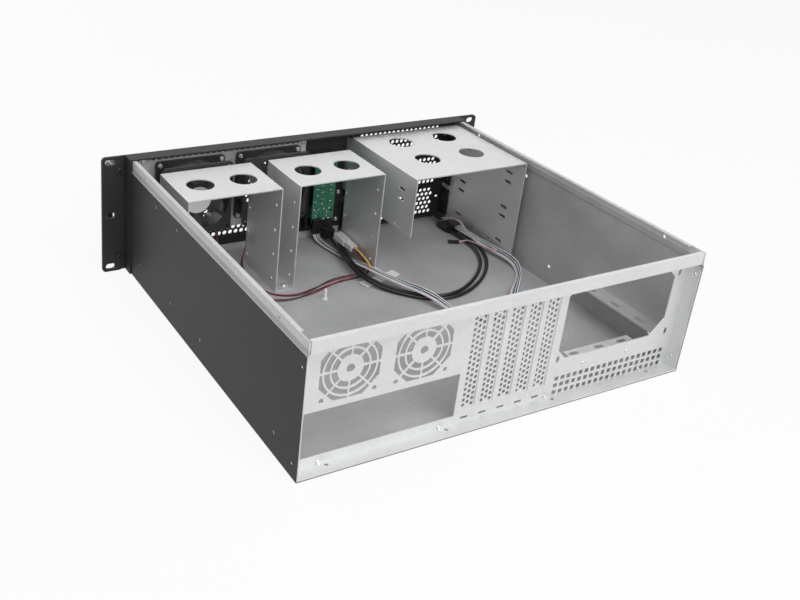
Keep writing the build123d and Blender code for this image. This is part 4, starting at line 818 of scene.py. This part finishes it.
# Rear face of the circuit board: solder domes, the larger ones of the sockets' tabs, and small chips
boardRear = {
    "face": -0.1659,
    "domes": [
        (-0.0188, 0.1002), (-0.0252, 0.1002), (-0.0188, 0.0958), (-0.0252, 0.0958),
        (-0.0188, 0.0842), (-0.0252, 0.0842), (-0.0188, 0.0798), (-0.0252, 0.0798),
        (-0.0207, 0.0700), (-0.0233, 0.0700), (-0.0207, 0.0620), (-0.0233, 0.0620),
        (-0.0207, 0.0540), (-0.0233, 0.0540),
        (-0.0150, 0.0378), (-0.0150, 0.0353), (-0.0150, 0.0328), (-0.0150, 0.0303),
        (-0.0290, 0.0378), (-0.0290, 0.0353), (-0.0290, 0.0328), (-0.0290, 0.0303),
    ],
    "domeRadius": 0.0008,
    "domeFlatness": 0.55,
    "tabs": [(-0.0118, 0.0405), (-0.0182, 0.0405), (-0.0258, 0.0405), (-0.0322, 0.0405),
             (-0.0118, 0.0275), (-0.0182, 0.0275), (-0.0258, 0.0275), (-0.0322, 0.0275)],
    "tabRadius": 0.0013,
    "chips": [(-0.0150, 0.0745), (-0.0150, 0.0665), (-0.0150, 0.0585), (-0.0325, 0.0700),
              (-0.0325, 0.0640), (-0.0130, 0.0505), (-0.0325, 0.0500), (-0.0220, 0.0475)],
    "chipSize": (0.0020, 0.0007, 0.0012),
    "chipEdge": 0.00012,
}


def makeDome(radius, flatness):
    bpy.ops.object.select_all(action="DESELECT")
    bpy.ops.mesh.primitive_uv_sphere_add(
        segments=12, ring_count=8, radius=radius, rotation=(-math.pi / 2, 0, 0))
    dome = bpy.context.active_object
    editPiece(dome)
    bpy.ops.object.mode_set(mode="EDIT")
    bpy.ops.mesh.select_all(action="SELECT")
    bpy.ops.mesh.bisect(plane_co=(0, 0, 0), plane_no=(0, 1, 0), use_fill=True, clear_inner=True)
    bpy.ops.mesh.select_all(action="SELECT")
    bpy.ops.transform.resize(value=(1, flatness, 1))
    bpy.ops.object.mode_set(mode="OBJECT")
    bpy.ops.object.transform_apply(location=True, rotation=True, scale=True)
    bpy.ops.object.shade_smooth_by_angle(angle=math.radians(50))
    return dome


def spreadCopies(first, places, y):
    copies = []
    for x, z in places:
        copy = first.copy()
        copy.data = first.data.copy()
        copy.location = (x, y, z)
        scene.collection.objects.link(copy)
        copies.append(copy)
    bpy.data.objects.remove(first)
    return copies


def joinPieces(pieces):
    bpy.ops.object.select_all(action="DESELECT")
    for piece in pieces:
        piece.select_set(True)
    bpy.context.view_layer.objects.active = pieces[0]
    bpy.ops.object.join()
    return bpy.context.active_object


def makeBoardRear(plan):
    domes = []
    for radius, places in (("domeRadius", "domes"), ("tabRadius", "tabs")):
        first = makeDome(plan[radius], plan["domeFlatness"])
        domes += spreadCopies(first, plan[places], plan["face"])
    solder = settle(joinPieces(domes), "boardSolder", looks["solder"])
    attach(solder, "case")
    bpy.ops.mesh.primitive_cube_add(size=1, scale=plan["chipSize"])
    chip = bpy.context.active_object
    bpy.ops.object.transform_apply(location=True, rotation=True, scale=True)
    editPiece(chip)
    bpy.ops.object.mode_set(mode="EDIT")
    bpy.ops.mesh.select_all(action="SELECT")
    bpy.ops.mesh.bevel(offset=plan["chipEdge"], segments=2)
    bpy.ops.object.mode_set(mode="OBJECT")
    chips = spreadCopies(chip, plan["chips"], plan["face"] + plan["chipSize"][1] / 2)
    chipSet = settle(joinPieces(chips), "boardChips", looks["nylon"])
    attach(chipSet, "case")


makeBoardRear(boardRear)
print("board details made")


# Studio: pale floor, white surroundings, a main lamp high behind the case, others above and in front
studio = {
    "floorSize": 12.0,
    "floorColour": (0.82, 0.82, 0.82),
    "floorRoughness": 0.9,
    "glowShare": 0.9,
    "world": 0.32,
    "lamps": {
        "keyLamp": {"place": (0.0, 1.75, 1.7), "aim": (0.0, 0.0, 0.08), "size": 2.2, "power": 38},
        "overheadLamp": {"place": (0.1, 0.3, 1.9), "aim": (0.0, 0.0, 0.1), "size": 1.8, "power": 10},
        "frontLamp": {"place": (0.9, -2.1, 0.45), "aim": (0.0, 0.0, 0.08), "size": 0.8, "power": 14},
    },
}


def makeWorld(strength):
    world = bpy.data.worlds.new("studioWorld")
    world.use_nodes = True
    tree = world.node_tree
    tree.nodes.clear()
    rays = addNode(tree, "ShaderNodeLightPath")
    seen = mathNode(tree, "MAXIMUM", rays.outputs["Is Camera Ray"], rays.outputs["Is Glossy Ray"])
    seen = mathNode(tree, "MAXIMUM", seen, rays.outputs["Is Transmission Ray"])
    light = addNode(tree, "ShaderNodeBackground", Color=(1, 1, 1, 1), Strength=strength)
    white = addNode(tree, "ShaderNodeBackground", Color=(1, 1, 1, 1), Strength=1.0)
    mix = addNode(tree, "ShaderNodeMixShader")
    tree.links.new(seen, mix.inputs[0])
    tree.links.new(light.outputs[0], mix.inputs[1])
    tree.links.new(white.outputs[0], mix.inputs[2])
    out = addNode(tree, "ShaderNodeOutputWorld")
    tree.links.new(mix.outputs[0], out.inputs["Surface"])
    scene.world = world


def makeFloor(plan):
    bpy.ops.mesh.primitive_plane_add(size=plan["floorSize"], location=(0, 0, 0))
    floor = bpy.context.active_object
    floor.name = "studioFloor"
    material, tree, shader = newMaterial("studioFloor", plan["floorRoughness"])
    shader.inputs["Base Color"].default_value = (*plan["floorColour"], 1)
    rays = addNode(tree, "ShaderNodeLightPath")
    seen = mathNode(tree, "MAXIMUM", rays.outputs["Is Camera Ray"], rays.outputs["Is Glossy Ray"])
    glow = addNode(tree, "ShaderNodeEmission", Strength=1.0)
    mix = addNode(tree, "ShaderNodeMixShader")
    tree.links.new(mathNode(tree, "MULTIPLY", seen, plan["glowShare"]), mix.inputs[0])
    tree.links.new(shader.outputs[0], mix.inputs[1])
    tree.links.new(glow.outputs[0], mix.inputs[2])
    tree.links.new(mix.outputs[0], tree.nodes["Material Output"].inputs["Surface"])
    floor.data.materials.append(material)


def makeLamp(name, lamp):
    data = bpy.data.lights.new(name, "AREA")
    data.size = lamp["size"]
    data.energy = lamp["power"]
    holder = bpy.data.objects.new(name, data)
    holder.location = lamp["place"]
    aim = Vector(lamp["aim"]) - Vector(lamp["place"])
    holder.rotation_euler = aim.to_track_quat("-Z", "Y").to_euler()
    scene.collection.objects.link(holder)


makeWorld(studio["world"])
makeFloor(studio)
for lampName, lamp in studio["lamps"].items():
    makeLamp(lampName, lamp)
scene.view_settings.view_transform = "Standard"
print("studio lit")
